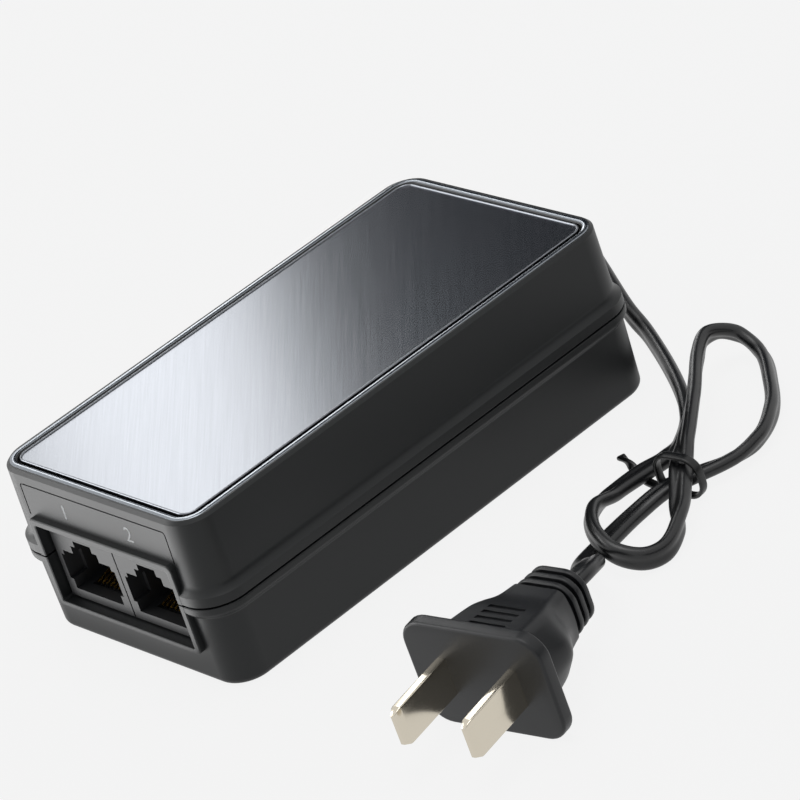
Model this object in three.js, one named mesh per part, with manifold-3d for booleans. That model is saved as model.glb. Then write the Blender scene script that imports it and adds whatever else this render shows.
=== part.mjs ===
// Power-over-Ethernet injector: a two-part moulded case with two modular jacks at the front,
// a circuit board inside, and a mains lead with a two-pin plug at the back.
// Millimetres, +Z up. The origin is the centre of the base, the jacks face -Y, the lead leaves at +Y.

import * as THREE from 'three';
import { mergeVertices } from 'three/addons/utils/BufferGeometryUtils.js';
import Module from 'manifold-3d';

// Clearances
const fit = 0.3;
const overrun = 1;
const contactClearance = 0.22;

// Case, wall to wall at the parting line
const caseLength = 90;
const caseWidth = 47.5;
const caseHeight = 29.5;
const cornerRadius = 5.5;
const cornerSteps = 7;
const draft = 0.22;
const wall = 2;
const floorWall = 2;
const roofWall = 2.7;
const topChamfer = 0.5;
const baseRound = 1.2;
const roundSteps = 3;

// Parting line and the band that flares out round it
const partingHeight = 14.8;
const partingGap = 0.3;
const bandProud = 0.95;
const upperBandRise = 1.8;
const flareRise = 1.7;
const flareSteps = 4;
const lowerBandDrop = 1.9;
const bandChamfer = 0.6;
const tongueWall = 0.9;
const tongueHeight = 1.3;

// Top plate in its pocket
const rimToGroove = 2.02;
const grooveWidth = 0.45;
const plateThickness = 0.8;
const pocketRadius = 2.7;
const plateRise = 0.05;

// Front bezel round the two jacks
const bezelWidth = 34.8;
const bezelBottom = 5.8;
const bezelTop = 21.7;
const bezelRadius = 1.1;
const windowWidth = 32.2;
const windowBottom = 6.6;
const windowTop = 20.5;
const windowRadius = 0.4;

// Modular jacks
const jackPitch = 15.7;
const jackWidth = 15.4;
const jackHeight = 13.3;
const jackDepth = 18;
const jackRecess = 0.8;
const jackSole = 1.6;
const socketFloor = 8.5;
const socketWidth = 11.7;
const socketHeight = 7.1;
const socketDepth = 13.2;
const notchWidth = 6.5;
const notchRise = 1.4;
const notchDepth = 12;
const tabWidth = 4.3;
const tabRise = 1.15;
const tabDepth = 8;
const reliefWidth = 13.2;
const reliefHeight = 4.5;
const reliefMiddle = 4;
const reliefDepth = 3;
const lipDepth = 2;
const troughWidth = 8.8;
const troughDepth = 1;
const backPocketWidth = 10;
const backPocketRise = 3.1;
const pegRadius = 1.5;
const pegSpread = 11.4;
const pegSetback = 6.2;
const pegReach = 2.7;
const pegSides = 12;

// Sprung contacts, their carrier and comb
const contactCount = 8;
const contactPitch = 1.02;
const contactWidth = 0.32;
const contactThickness = 0.28;
const hingeSetback = 2.6;
const hingeRise = 0.1;
const armReach = 8.2;
const armRise = 2.3;
const tipReach = 2;
const tipDrop = 0.62;
const carrierDepth = 4.1;
const carrierRise = 2.8;
const combReach = 1.8;
const combRise = 2.4;
const legThickness = 0.25;
const legGap = 0.25;
const legSetback = 2.9;
const tailSize = 0.5;
const tailReach = 3;
const tailRows = 2.54;
const tailInset = 1.1;

// Circuit board and the posts that hold it
const boardThickness = 1.6;
const boardMargin = 0.6;
const boardRadius = 2.5;
const filletSteps = 3;
const postRadius = 1.7;
const postJackGap = 0.4;
const postEndInset = 7;
const postSides = 16;

// Strain relief in the back wall
const reliefOffset = 12;
const neckRadius = 3.2;
const collarRadius = 4.6;
const collarLength = 1.1;
const innerTailLength = 7.5;
const innerTailRadius = 3;
const outerCollarRadius = 4.3;
const outerCollarLength = 1;
const taperLength = 6.95;
const taperStartRadius = 3.6;
const taperEndWidth = 6;
const taperEndHeight = 4.4;
const ribCount = 3;
const ribGroove = 0.5;
const ribGrooveShare = 0.3;
const reliefSides = 24;

// Flat twin mains lead, lying on the surface that the case stands on. Each point has the turn of the
// section about the lead's own line, in degrees: at 90 the lead stands on its edge
const leadWidth = 3.7;
const leadThickness = 2.1;
const leadSteps = 78;
const leadShoulderShare = 0.36;
const leadEdgeShare = 0.46;
const leadRoute = [
  [-12, 54.5, 14.8, 0], [-12, 56.5, 14.6, 0], [-11.5, 59.5, 13.5, 10], [-8.5, 62, 11, 30],
  [-4.5, 61, 7.8, 55], [10.5, 54, 4, 85], [16, 52, 2.3, 90], [36.5, 39, 2.1, 85],
  [43, 31.5, 2, 50], [44.8, 26.5, 2.2, 10], [44.3, 21.5, 2.4, 0], [44.5, 15, 2.8, 10],
  [47, 8.5, 4.3, 65], [53.5, 3.2, 4.9, 80], [58.3, 2.3, 3.7, 90], [61.5, 4.3, 2.4, 90],
  [62.5, 7.5, 2, 90], [61, 12, 2.5, 95], [57, 17.3, 3.8, 160], [52.6, 22.5, 5, 180],
  [48.5, 28, 5.5, 135], [42, 36.5, 5.8, 115], [34, 46, 6.1, 105], [31.5, 50.3, 6.5, 120],
  [32, 53.5, 5.8, 140], [34, 55.5, 4.2, 125], [38, 55, 2.2, 105], [45.5, 49.2, 2.1, 95],
  [51.5, 43, 2.1, 85], [55, 36, 2, 60], [54.8, 30.2, 1.9, 30], [53, 25, 2.2, 15],
  [51, 20, 2.2, 5], [50, 13.5, 1.3, 5], [51, 5.7, 1.2, 0], [52.3, 0.5, 1.5, 0],
  [55.5, -2.5, 3.2, 0], [60.5, -4, 6.8, 0], [64.7, -8.9, 9.7, 0], [65.6, -13.65, 9.75, 0],
];

// Twist tie round the crossing of the lead
const tiePlace = [52.4, 22];
const tieTurn = 8;
const tieWidth = 8.8;
const tieHeight = 7.4;
const tieRadius = 3;
const tieThickness = 0.6;
const tieBand = 1.5;
const tieCornerSteps = 7;
const tieTail = [[50.2, 21.7, 0.5], [44.5, 22, 0.46], [41.5, 22.9, 0.6], [39, 23.7, 1.15], [36, 24.7, 1.25]];
const tieTailWidth = 1.5;
const tieTailThickness = 0.8;
const tieTailSteps = 16;
const tieTailTurns = 0.5;
const tieTailFlatShare = 0.6;

// Two-pin plug, lying on the lower edge of its flange with its tail held up by the lead
const plugPlace = [69.53, -35];
const plugTurn = 10.5;
const plugPitch = 2;
const flangeWidth = 25;
const flangeHeight = 18;
const flangeThickness = 2.4;
const flangeRadius = 4;
const flangeEdge = 0.5;
const plugCornerSteps = 5;
const gripLength = 14;
const gripWidth = 20;
const gripHeight = 13.8;
const gripCornerShare = 0.16;
const plugRingCount = 3;
const plugRingLength = 1;
const plugRingGap = 0.65;
const plugRingDepth = 0.7;
const plugRingWidth = 10.8;
const plugRingHeight = 9.4;
const plugTailWidth = 9.8;
const plugTailHeight = 9;
const plugRingRadius = 3.2;
const panelWidth = 6.4;
const panelLength = 5.6;
const panelSetback = 1.8;
const panelFloorShare = 0.84;
const panelRibs = 3;
const pinSpacing = 12.7;
const pinWidth = 6.35;
const pinThickness = 1.5;
const pinLength = 12.6;
const pinRoot = 5;
const pinTipTaper = 1.2;
const pinTipThickness = 0.7;

// Parts on the board
const fuseSize = [8.5, 4, 8];
const bridgeSize = [6.4, 8.4, 2.6];
const mainsCapacitorRadius = 6.2;
const mainsCapacitorHeightShare = 0.87;
const filterCapacitorRadius = 4;
const filterCapacitorHeightShare = 0.66;
const canEdge = 0.6;
const canSides = 28;
const chokeRadius = 6;
const chokeBore = 2.6;
const chokeHeight = 6.5;
const coreWidthShare = 0.5;
const coreDepth = 11.6;
const coreHeightShare = 0.84;
const windingWidthShare = 0.285;
const windingLength = 17.6;
const windingHeightShare = 0.56;
const windingRadius = 1.6;
const sinkThickness = 1.5;
const sinkLength = 19;
const sinkHeightShare = 0.79;
const sinkFoot = 4;
const sinkFootShare = 0.25;
const transistorWidth = 10;
const transistorBodyShares = [0.073, 0.48];
const transistorTabThickness = 1.1;
const transistorTabShare = 0.67;
const drumRadius = 4.4;
const drumHeight = 8.4;
const drumWaist = 3;
const drumFlange = 1.3;
const discRadius = 4.2;
const discThickness = 3;
const chipWidthShare = 0.147;
const chipLength = 9.2;
const chipHeight = 3.4;
const chipBevel = 0.5;

// Derived heights and places. Shares are of the room inside the case and over the board
const halfLength = caseLength / 2;
const halfWidth = caseWidth / 2;
const frontWall = -halfLength;
const bezelFace = frontWall - bandProud;
const upperStart = partingHeight + partingGap / 2;
const lowerEnd = partingHeight - partingGap / 2;
const cavityHalfX = halfWidth - wall;
const cavityHalfY = halfLength - wall;
const cavityRadius = cornerRadius - wall;
const jackFace = frontWall + jackRecess;
const jackBottom = socketFloor - jackSole;
const boardTop = jackBottom - fit;
const boardBottom = boardTop - boardThickness;
const hingeY = jackFace + hingeSetback;
const hingeZ = socketFloor + hingeRise;
const troughFloor = socketFloor - troughDepth;
const cavityBack = jackFace + socketDepth;
const jackBack = jackFace + jackDepth;
const carrierFront = jackBack - fit - carrierDepth;
const jackCentres = { left: -jackPitch / 2, right: jackPitch / 2 };
const postSpread = (jackPitch + jackWidth) / 2 + postJackGap + postRadius;
const backFace = halfLength + bandProud;
const roomWidth = cavityHalfX * 2;
const headroom = caseHeight - roofWall - boardTop - fit * 2;

const wasm = await Module();
wasm.setup();

// A closed geometry as a solid that can be joined and cut
function solid(geometry) {
  const bare = geometry.index ? geometry.clone() : geometry;
  bare.deleteAttribute('normal');
  bare.deleteAttribute('uv');
  const merged = mergeVertices(bare);
  return new wasm.Manifold(new wasm.Mesh({
    numProp: 3,
    vertProperties: new Float32Array(merged.attributes.position.array),
    triVerts: new Uint32Array(merged.index.array),
  }));
}

function join(...geometries) {
  return geometries.map(solid).reduce((sum, next) => sum.add(next));
}

function cut(base, ...tools) {
  return tools.reduce((rest, tool) => rest.subtract(solid(tool)), base);
}

function geometryOf(body) {
  const mesh = body.getMesh();
  const geometry = new THREE.BufferGeometry();
  geometry.setAttribute('position', new THREE.BufferAttribute(new Float32Array(mesh.vertProperties), 3));
  geometry.setIndex(new THREE.BufferAttribute(new Uint32Array(mesh.triVerts), 1));
  geometry.computeVertexNormals();
  return geometry;
}

// A box between two corners
function block(x0, x1, y0, y1, z0, z1) {
  return new THREE.BoxGeometry(x1 - x0, y1 - y0, z1 - z0)
    .translate((x0 + x1) / 2, (y0 + y1) / 2, (z0 + z1) / 2);
}

// An upright round post
function post(x, y, radius, z0, z1, sides) {
  return new THREE.CylinderGeometry(radius, radius, z1 - z0, sides)
    .rotateX(Math.PI / 2)
    .translate(x, y, (z0 + z1) / 2);
}

// The corners of a rectangle with round corners, anticlockwise
function roundedLoop(halfX, halfY, radius, steps) {
  const points = [];
  const quarters = [[1, 1], [-1, 1], [-1, -1], [1, -1]];
  quarters.forEach(([sideX, sideY], quarter) => {
    for (let i = 0; i <= steps; i++) {
      const angle = (quarter + i / steps) * Math.PI / 2;
      points.push([
        sideX * (halfX - radius) + radius * Math.cos(angle),
        sideY * (halfY - radius) + radius * Math.sin(angle),
      ]);
    }
  });
  return points;
}

function roundedShape(halfX, halfY, radius, steps, centreX = 0, centreY = 0) {
  const points = roundedLoop(halfX, halfY, radius, steps);
  return new THREE.Shape(points.map(([x, y]) => new THREE.Vector2(x + centreX, y + centreY)));
}

// A closed skin through loops of equal count, each anticlockwise seen from where the loft goes
function loft(loops) {
  const count = loops[0].length;
  const index = [];
  for (let k = 0; k + 1 < loops.length; k++) {
    for (let i = 0; i < count; i++) {
      const a = k * count + i;
      const b = k * count + (i + 1) % count;
      index.push(a, b, b + count, a, b + count, a + count);
    }
  }
  const last = (loops.length - 1) * count;
  for (let i = 1; i + 1 < count; i++) {
    index.push(0, i + 1, i);
    index.push(last, last + i, last + i + 1);
  }
  const geometry = new THREE.BufferGeometry();
  geometry.setAttribute('position', new THREE.Float32BufferAttribute(loops.flat(2), 3));
  geometry.setIndex(index);
  return geometry;
}

// Levels of [outward offset, height] carried round the plan of the case
function caseLoft(levels, halfX, halfY, radius) {
  return loft(levels.map(([offset, z]) => roundedLoop(
    halfX + offset,
    halfY + offset,
    Math.max(radius + offset, fit),
    cornerSteps,
  ).map(([x, y]) => [x, y, z])));
}

// A flat outline in X and Z, carried along Y
function alongY(shape, y0, y1) {
  return new THREE.ExtrudeGeometry(shape, { depth: y1 - y0, bevelEnabled: false, curveSegments: cornerSteps })
    .rotateX(Math.PI / 2)
    .translate(0, y1, 0);
}

// A flat outline in Y and Z, carried along X
function alongX(shape, x0, x1) {
  const basis = new THREE.Matrix4().makeBasis(
    new THREE.Vector3(0, 1, 0),
    new THREE.Vector3(0, 0, 1),
    new THREE.Vector3(1, 0, 0),
  );
  return new THREE.ExtrudeGeometry(shape, { depth: x1 - x0, bevelEnabled: false })
    .applyMatrix4(basis)
    .translate(x0, 0, 0);
}

function alongZ(shape, z0, z1) {
  return new THREE.ExtrudeGeometry(shape, { depth: z1 - z0, bevelEnabled: false }).translate(0, 0, z0);
}

// How far the drafted wall stands in from its plan at the parting line
function draftAt(z) {
  const reach = z > partingHeight ? caseHeight - partingHeight : partingHeight;
  return -draft * Math.abs(z - partingHeight) / reach;
}

function frontShape(width, bottom, top, radius) {
  return roundedShape(width / 2, (top - bottom) / 2, radius, cornerSteps, 0, (top + bottom) / 2);
}

function bezel() {
  return alongY(frontShape(bezelWidth, bezelBottom, bezelTop, bezelRadius), bezelFace, frontWall + wall / 2);
}

function frontWindow() {
  const shape = frontShape(windowWidth, windowBottom, windowTop, windowRadius);
  return alongY(shape, bezelFace - overrun, frontWall + wall + overrun);
}

function cordNotch() {
  return new THREE.CylinderGeometry(neckRadius + fit, neckRadius + fit, wall * 2 + bandProud * 2, reliefSides)
    .translate(-reliefOffset, halfLength, partingHeight);
}

function slabBelow(z) {
  return block(-caseWidth, caseWidth, -caseLength, caseLength, -caseHeight, z);
}

function slabAbove(z) {
  return block(-caseWidth, caseWidth, -caseLength, caseLength, z, caseHeight * 2);
}

function postPlaces() {
  const places = [];
  for (const side of [-1, 1]) {
    for (const end of [-1, 1]) {
      places.push([side * postSpread, end * (cavityHalfY - postEndInset)]);
    }
  }
  return places;
}

// Upper half shell: flare band, drafted wall, chamfered rim, plate pocket and board posts
function upperShell() {
  const levels = [[bandProud, upperStart], [bandProud, partingHeight + upperBandRise]];
  for (let i = 1; i <= flareSteps; i++) {
    const t = i / flareSteps;
    const z = partingHeight + upperBandRise + flareRise * t;
    levels.push([bandProud * (1 - t) ** 2 + draftAt(z), z]);
  }
  for (let i = 0; i <= roundSteps; i++) {
    const angle = i / roundSteps * Math.PI / 2;
    const z = caseHeight - topChamfer * (1 - Math.sin(angle));
    levels.push([draftAt(z) - topChamfer * (1 - Math.cos(angle)), z]);
  }
  const outside = caseLoft(levels, halfWidth, halfLength, cornerRadius);
  const hollow = caseLoft(
    [[0, partingHeight - overrun], [-draft, caseHeight - roofWall]],
    cavityHalfX,
    cavityHalfY,
    cavityRadius,
  );
  const rebateOffset = tongueWall + fit;
  const rebate = caseLoft(
    [[rebateOffset, partingHeight - overrun], [rebateOffset, partingHeight + tongueHeight + fit]],
    cavityHalfX,
    cavityHalfY,
    cavityRadius,
  );
  const pocketOffset = -draft - rimToGroove;
  const pocket = caseLoft(
    [[0, caseHeight - plateThickness - fit], [0, caseHeight + overrun]],
    halfWidth + pocketOffset,
    halfLength + pocketOffset,
    pocketRadius,
  );
  const body = cut(
    join(outside, bezel()),
    slabBelow(upperStart),
    hollow,
    rebate,
    pocket,
    frontWindow(),
    cordNotch(),
  );
  const posts = postPlaces().map(([x, y]) => post(
    x,
    y,
    postRadius,
    boardTop + fit,
    caseHeight - roofWall + overrun / 2,
    postSides,
  ));
  return posts.reduce((sum, next) => sum.add(solid(next)), body);
}

// Lower half shell: rounded foot, wall, chamfered band, tongue and board posts
function lowerShell() {
  const levels = [];
  for (let i = 0; i <= roundSteps; i++) {
    const angle = i / roundSteps * Math.PI / 2;
    const z = baseRound * (1 - Math.cos(angle));
    levels.push([draftAt(z) - baseRound * (1 - Math.sin(angle)), z]);
  }
  const bandBottom = partingHeight - lowerBandDrop;
  levels.push([draftAt(bandBottom - bandChamfer), bandBottom - bandChamfer]);
  levels.push([bandProud, bandBottom]);
  levels.push([bandProud, lowerEnd]);
  const outside = caseLoft(levels, halfWidth, halfLength, cornerRadius);
  const tongue = caseLoft(
    [[tongueWall, floorWall], [tongueWall, partingHeight + tongueHeight]],
    cavityHalfX,
    cavityHalfY,
    cavityRadius,
  );
  const hollow = caseLoft(
    [[-draft, floorWall], [0, caseHeight]],
    cavityHalfX,
    cavityHalfY,
    cavityRadius,
  );
  const bezelHalf = cut(solid(bezel()), slabAbove(lowerEnd));
  const shell = cut(join(outside, tongue).add(bezelHalf), hollow, frontWindow(), cordNotch());
  const posts = postPlaces().map(([x, y]) => post(
    x,
    y,
    postRadius,
    floorWall - overrun / 2,
    boardBottom - fit,
    postSides,
  ));
  return posts.reduce((sum, next) => sum.add(solid(next)), shell);
}

function topPlate() {
  const offset = -draft - rimToGroove - grooveWidth;
  return caseLoft(
    [
      [offset, caseHeight - plateThickness],
      [offset, caseHeight - plateRise],
      [offset - plateRise, caseHeight],
    ],
    halfWidth,
    halfLength,
    pocketRadius - grooveWidth - offset,
  );
}

// The x of each contact, counted from the jack's own middle
function contactPlaces() {
  return Array.from({ length: contactCount }, (_, i) => (i - (contactCount - 1) / 2) * contactPitch);
}

function tailPlaces() {
  return contactPlaces().map((x, i) => [x, jackBack - fit - tailInset - (i % 2) * tailRows]);
}

// Circuit board with round corners, square holes for the tails and round holes for the jack pegs
function board() {
  const halfX = cavityHalfX - boardMargin;
  const halfY = cavityHalfY - boardMargin;
  const sheet = alongZ(roundedShape(halfX, halfY, boardRadius, filletSteps), boardBottom, boardTop);
  const tailHole = tailSize / 2 + contactClearance;
  const holes = [];
  for (const centre of Object.values(jackCentres)) {
    for (const [x, y] of tailPlaces()) {
      holes.push(block(
        centre + x - tailHole,
        centre + x + tailHole,
        y - tailHole,
        y + tailHole,
        boardBottom - overrun,
        boardTop + overrun,
      ));
    }
    for (const x of [centre - pegSpread / 2, centre + pegSpread / 2]) {
      const y = jackFace + pegSetback;
      holes.push(post(x, y, pegRadius + fit, boardBottom - overrun, boardTop + overrun, pegSides));
    }
  }
  return cut(solid(sheet), ...holes);
}

// One jack housing: socket, latch notch in two steps, side reliefs, contact trough and back pocket
function jackHousing(centre) {
  const front = jackFace - overrun;
  const side = (width, depth, z0, z1) => block(
    centre - width / 2,
    centre + width / 2,
    front,
    jackFace + depth,
    z0,
    z1,
  );
  const socketTop = socketFloor + socketHeight;
  const notchTop = socketTop + notchRise;
  const outside = block(
    centre - jackWidth / 2,
    centre + jackWidth / 2,
    jackFace,
    jackBack,
    jackBottom,
    jackBottom + jackHeight,
  );
  const pegs = [-pegSpread / 2, pegSpread / 2].map((x) => post(
    centre + x,
    jackFace + pegSetback,
    pegRadius,
    jackBottom - pegReach,
    jackBottom + jackSole / 2,
    pegSides,
  ));
  const trough = block(
    centre - troughWidth / 2,
    centre + troughWidth / 2,
    jackFace + lipDepth,
    cavityBack,
    troughFloor,
    socketFloor + overrun,
  );
  const backPocket = block(
    centre - backPocketWidth / 2,
    centre + backPocketWidth / 2,
    cavityBack - lipDepth,
    jackBack + overrun,
    troughFloor,
    socketFloor + backPocketRise,
  );
  const tailPocket = block(
    centre - backPocketWidth / 2,
    centre + backPocketWidth / 2,
    carrierFront - fit,
    jackBack + overrun,
    jackBottom - overrun,
    socketFloor,
  );
  return cut(
    join(outside, ...pegs),
    side(socketWidth, socketDepth, socketFloor, socketTop),
    side(notchWidth, notchDepth, socketFloor + socketHeight / 2, notchTop),
    side(tabWidth, tabDepth, socketFloor + socketHeight / 2, notchTop + tabRise),
    side(
      reliefWidth,
      reliefDepth,
      socketFloor + reliefMiddle - reliefHeight / 2,
      socketFloor + reliefMiddle + reliefHeight / 2,
    ),
    trough,
    backPocket,
    tailPocket,
  );
}

// Contact carrier: back block, comb fins, fixed legs and solder tails
function contactCarrier(centre) {
  const carrierBack = jackBack - fit;
  const half = backPocketWidth / 2 - fit;
  const carrierTop = socketFloor + carrierRise;
  const pieces = [block(centre - half, centre + half, carrierFront, carrierBack, jackBottom, carrierTop)];
  const finThickness = contactPitch - contactWidth - contactClearance * 2;
  for (let i = 0; i <= contactCount; i++) {
    const x = centre + (i - contactCount / 2) * contactPitch;
    pieces.push(block(
      x - finThickness / 2,
      x + finThickness / 2,
      carrierFront - combReach,
      carrierFront + fit,
      troughFloor + fit,
      socketFloor + combRise,
    ));
  }
  for (const x of contactPlaces()) {
    pieces.push(block(
      centre + x - contactWidth / 2,
      centre + x + contactWidth / 2,
      jackFace + legSetback,
      carrierFront + fit,
      troughFloor + legGap,
      troughFloor + legGap + legThickness,
    ));
  }
  for (const [x, y] of tailPlaces()) {
    pieces.push(block(
      centre + x - tailSize / 2,
      centre + x + tailSize / 2,
      y - tailSize / 2,
      y + tailSize / 2,
      jackBottom - tailReach,
      jackBottom + fit,
    ));
  }
  return join(...pieces);
}

// One sprung arm: a strip that rises from its root, peaks, and dips into the comb
function contactArm(x) {
  const line = [
    [hingeY, hingeZ],
    [hingeY + armReach, hingeZ + armRise],
    [hingeY + armReach + tipReach, hingeZ + armRise - tipDrop],
  ];
  const half = contactThickness / 2;
  const rise = Math.atan2(armRise, armReach);
  const fall = -Math.atan2(tipDrop, tipReach);
  const turns = [rise, (rise + fall) / 2, fall];
  const edge = (side) => line.map(([y, z], i) => new THREE.Vector2(
    y - side * half * Math.sin(turns[i]),
    z + side * half * Math.cos(turns[i]),
  ));
  const outline = new THREE.Shape([...edge(-1), ...edge(1).reverse()]);
  return alongX(outline, x - contactWidth / 2, x + contactWidth / 2);
}

// An oval loop square to Y
function ovalLoop(halfX, halfZ, y, sides) {
  return Array.from({ length: sides }, (_, i) => {
    const angle = -i / sides * Math.PI * 2;
    return [halfX * Math.cos(angle), y, halfZ * Math.sin(angle)];
  });
}

// Strain relief: inner tail, collar inside the wall, neck in the notch, outer collar and ribbed taper
function strainRelief() {
  const neckStart = cavityHalfY - fit;
  const neckEnd = backFace + fit;
  const taperStart = neckEnd + outerCollarLength;
  const rings = [
    [innerTailRadius, innerTailRadius, neckStart - collarLength - innerTailLength],
    [innerTailRadius, innerTailRadius, neckStart - collarLength],
    [collarRadius, collarRadius, neckStart - collarLength],
    [collarRadius, collarRadius, neckStart],
    [neckRadius, neckRadius, neckStart],
    [neckRadius, neckRadius, neckEnd],
    [outerCollarRadius, outerCollarRadius, neckEnd],
    [outerCollarRadius, outerCollarRadius, taperStart],
  ];
  const ribPitch = taperLength / ribCount;
  for (let i = 0; i < ribCount; i++) {
    const steps = [[0, ribGroove], [ribGrooveShare, ribGroove], [ribGrooveShare, 0], [1, 0]];
    for (const [along, groove] of steps) {
      const share = (i + along) / ribCount;
      rings.push([
        THREE.MathUtils.lerp(taperStartRadius, taperEndWidth / 2, share) - groove,
        THREE.MathUtils.lerp(taperStartRadius, taperEndHeight / 2, share) - groove,
        taperStart + ribPitch * (i + along),
      ]);
    }
  }
  return loft(rings.map(([halfX, halfZ, y]) => ovalLoop(halfX, halfZ, y, reliefSides)));
}

// A route whose flat section lies at a stated turn at each of its points, zero being level
class TurnedRoute extends THREE.CatmullRomCurve3 {
  constructor(points) {
    super(points.map(([x, y, z]) => new THREE.Vector3(x, y, z)), false, 'centripetal');
    this.turns = points.map((point) => THREE.MathUtils.degToRad(point[3]));
  }

  turnAt(share) {
    const along = this.getUtoTmapping(share) * (this.turns.length - 1);
    const first = Math.min(Math.floor(along), this.turns.length - 2);
    const eased = THREE.MathUtils.smoothstep(along - first, 0, 1);
    return THREE.MathUtils.lerp(this.turns[first], this.turns[first + 1], eased);
  }

  computeFrenetFrames(segments) {
    const up = new THREE.Vector3(0, 0, 1);
    const frames = { tangents: [], normals: [], binormals: [] };
    for (let i = 0; i <= segments; i++) {
      const tangent = this.getTangentAt(i / segments);
      const turn = this.turnAt(i / segments);
      const across = new THREE.Vector3().crossVectors(up, tangent).normalize().applyAxisAngle(tangent, turn);
      frames.tangents.push(tangent);
      frames.normals.push(new THREE.Vector3().crossVectors(tangent, across));
      frames.binormals.push(across.negate());
    }
    return frames;
  }
}

// The lead's own section, eight sides
function leadSection() {
  const shoulder = leadWidth / 2 - leadThickness * leadShoulderShare;
  const edge = leadThickness / 2 * leadEdgeShare;
  const quarter = [[leadThickness / 2, shoulder], [edge, leadWidth / 2]];
  const points = [
    ...quarter,
    ...quarter.map(([x, y]) => [-x, y]).reverse(),
    ...quarter.map(([x, y]) => [-x, -y]),
    ...quarter.map(([x, y]) => [x, -y]).reverse(),
  ];
  return new THREE.Shape(points.map(([x, y]) => new THREE.Vector2(x, y)));
}

function mainsLead() {
  return new THREE.ExtrudeGeometry(leadSection(), {
    steps: leadSteps,
    bevelEnabled: false,
    extrudePath: new TurnedRoute(leadRoute),
  });
}

// Twist tie: a flat band round two strands where they cross, and its two ends laid together as a tail
// that passes flat under the third strand and is twisted beyond it
function twistTie() {
  const shape = roundedShape(tieWidth / 2, tieHeight / 2, tieRadius, tieCornerSteps);
  const inner = roundedLoop(
    tieWidth / 2 - tieThickness,
    tieHeight / 2 - tieThickness,
    tieRadius - tieThickness,
    tieCornerSteps,
  );
  shape.holes.push(new THREE.Path(inner.map(([x, y]) => new THREE.Vector2(x, y)).reverse()));
  const ring = alongY(shape, -tieBand / 2, tieBand / 2)
    .translate(0, 0, tieHeight / 2)
    .rotateZ(THREE.MathUtils.degToRad(tieTurn))
    .translate(...tiePlace, 0);
  const path = new THREE.CatmullRomCurve3(tieTail.map((point) => new THREE.Vector3(...point)));
  const up = new THREE.Vector3(0, 0, 1);
  const loops = [];
  for (let i = 0; i <= tieTailSteps; i++) {
    const share = i / tieTailSteps;
    const centre = path.getPointAt(share);
    const tangent = path.getTangentAt(share);
    const across = new THREE.Vector3().crossVectors(tangent, up).normalize();
    const rise = new THREE.Vector3().crossVectors(across, tangent);
    const twisted = Math.max(0, share - tieTailFlatShare) / (1 - tieTailFlatShare);
    const turn = twisted * tieTailTurns * Math.PI * 2;
    loops.push([[1, 1], [-1, 1], [-1, -1], [1, -1]].map(([a, b]) => {
      const u = a * tieTailWidth / 2;
      const v = b * tieTailThickness / 2;
      return centre.clone()
        .addScaledVector(across, u * Math.cos(turn) - v * Math.sin(turn))
        .addScaledVector(rise, u * Math.sin(turn) + v * Math.cos(turn))
        .toArray();
    }).reverse());
  }
  return join(ring, loft(loops));
}

// A loop of the plug, square to its own axis, in the plug's own frame
function plugLoop(width, height, radius, y) {
  return roundedLoop(width / 2, height / 2, radius, plugCornerSteps).map(([x, z]) => [-x, y, z]);
}

// A loop of the grip: six sides with cut corners, flat above and below and widest at the middle
function gripLoop(above, middle, height, y) {
  const corners = [
    [middle, 0], [above, height], [-above, height], [-middle, 0], [-above, -height], [above, -height],
  ];
  const toward = ([fromX, fromZ], [toX, toZ]) => [
    -THREE.MathUtils.lerp(fromX, toX, gripCornerShare) / 2,
    y,
    THREE.MathUtils.lerp(fromZ, toZ, gripCornerShare) / 2,
  ];
  return corners.flatMap((corner, i) => [
    toward(corner, corners.at(i - 1)),
    toward(corner, corners[(i + 1) % corners.length]),
  ]);
}

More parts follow.
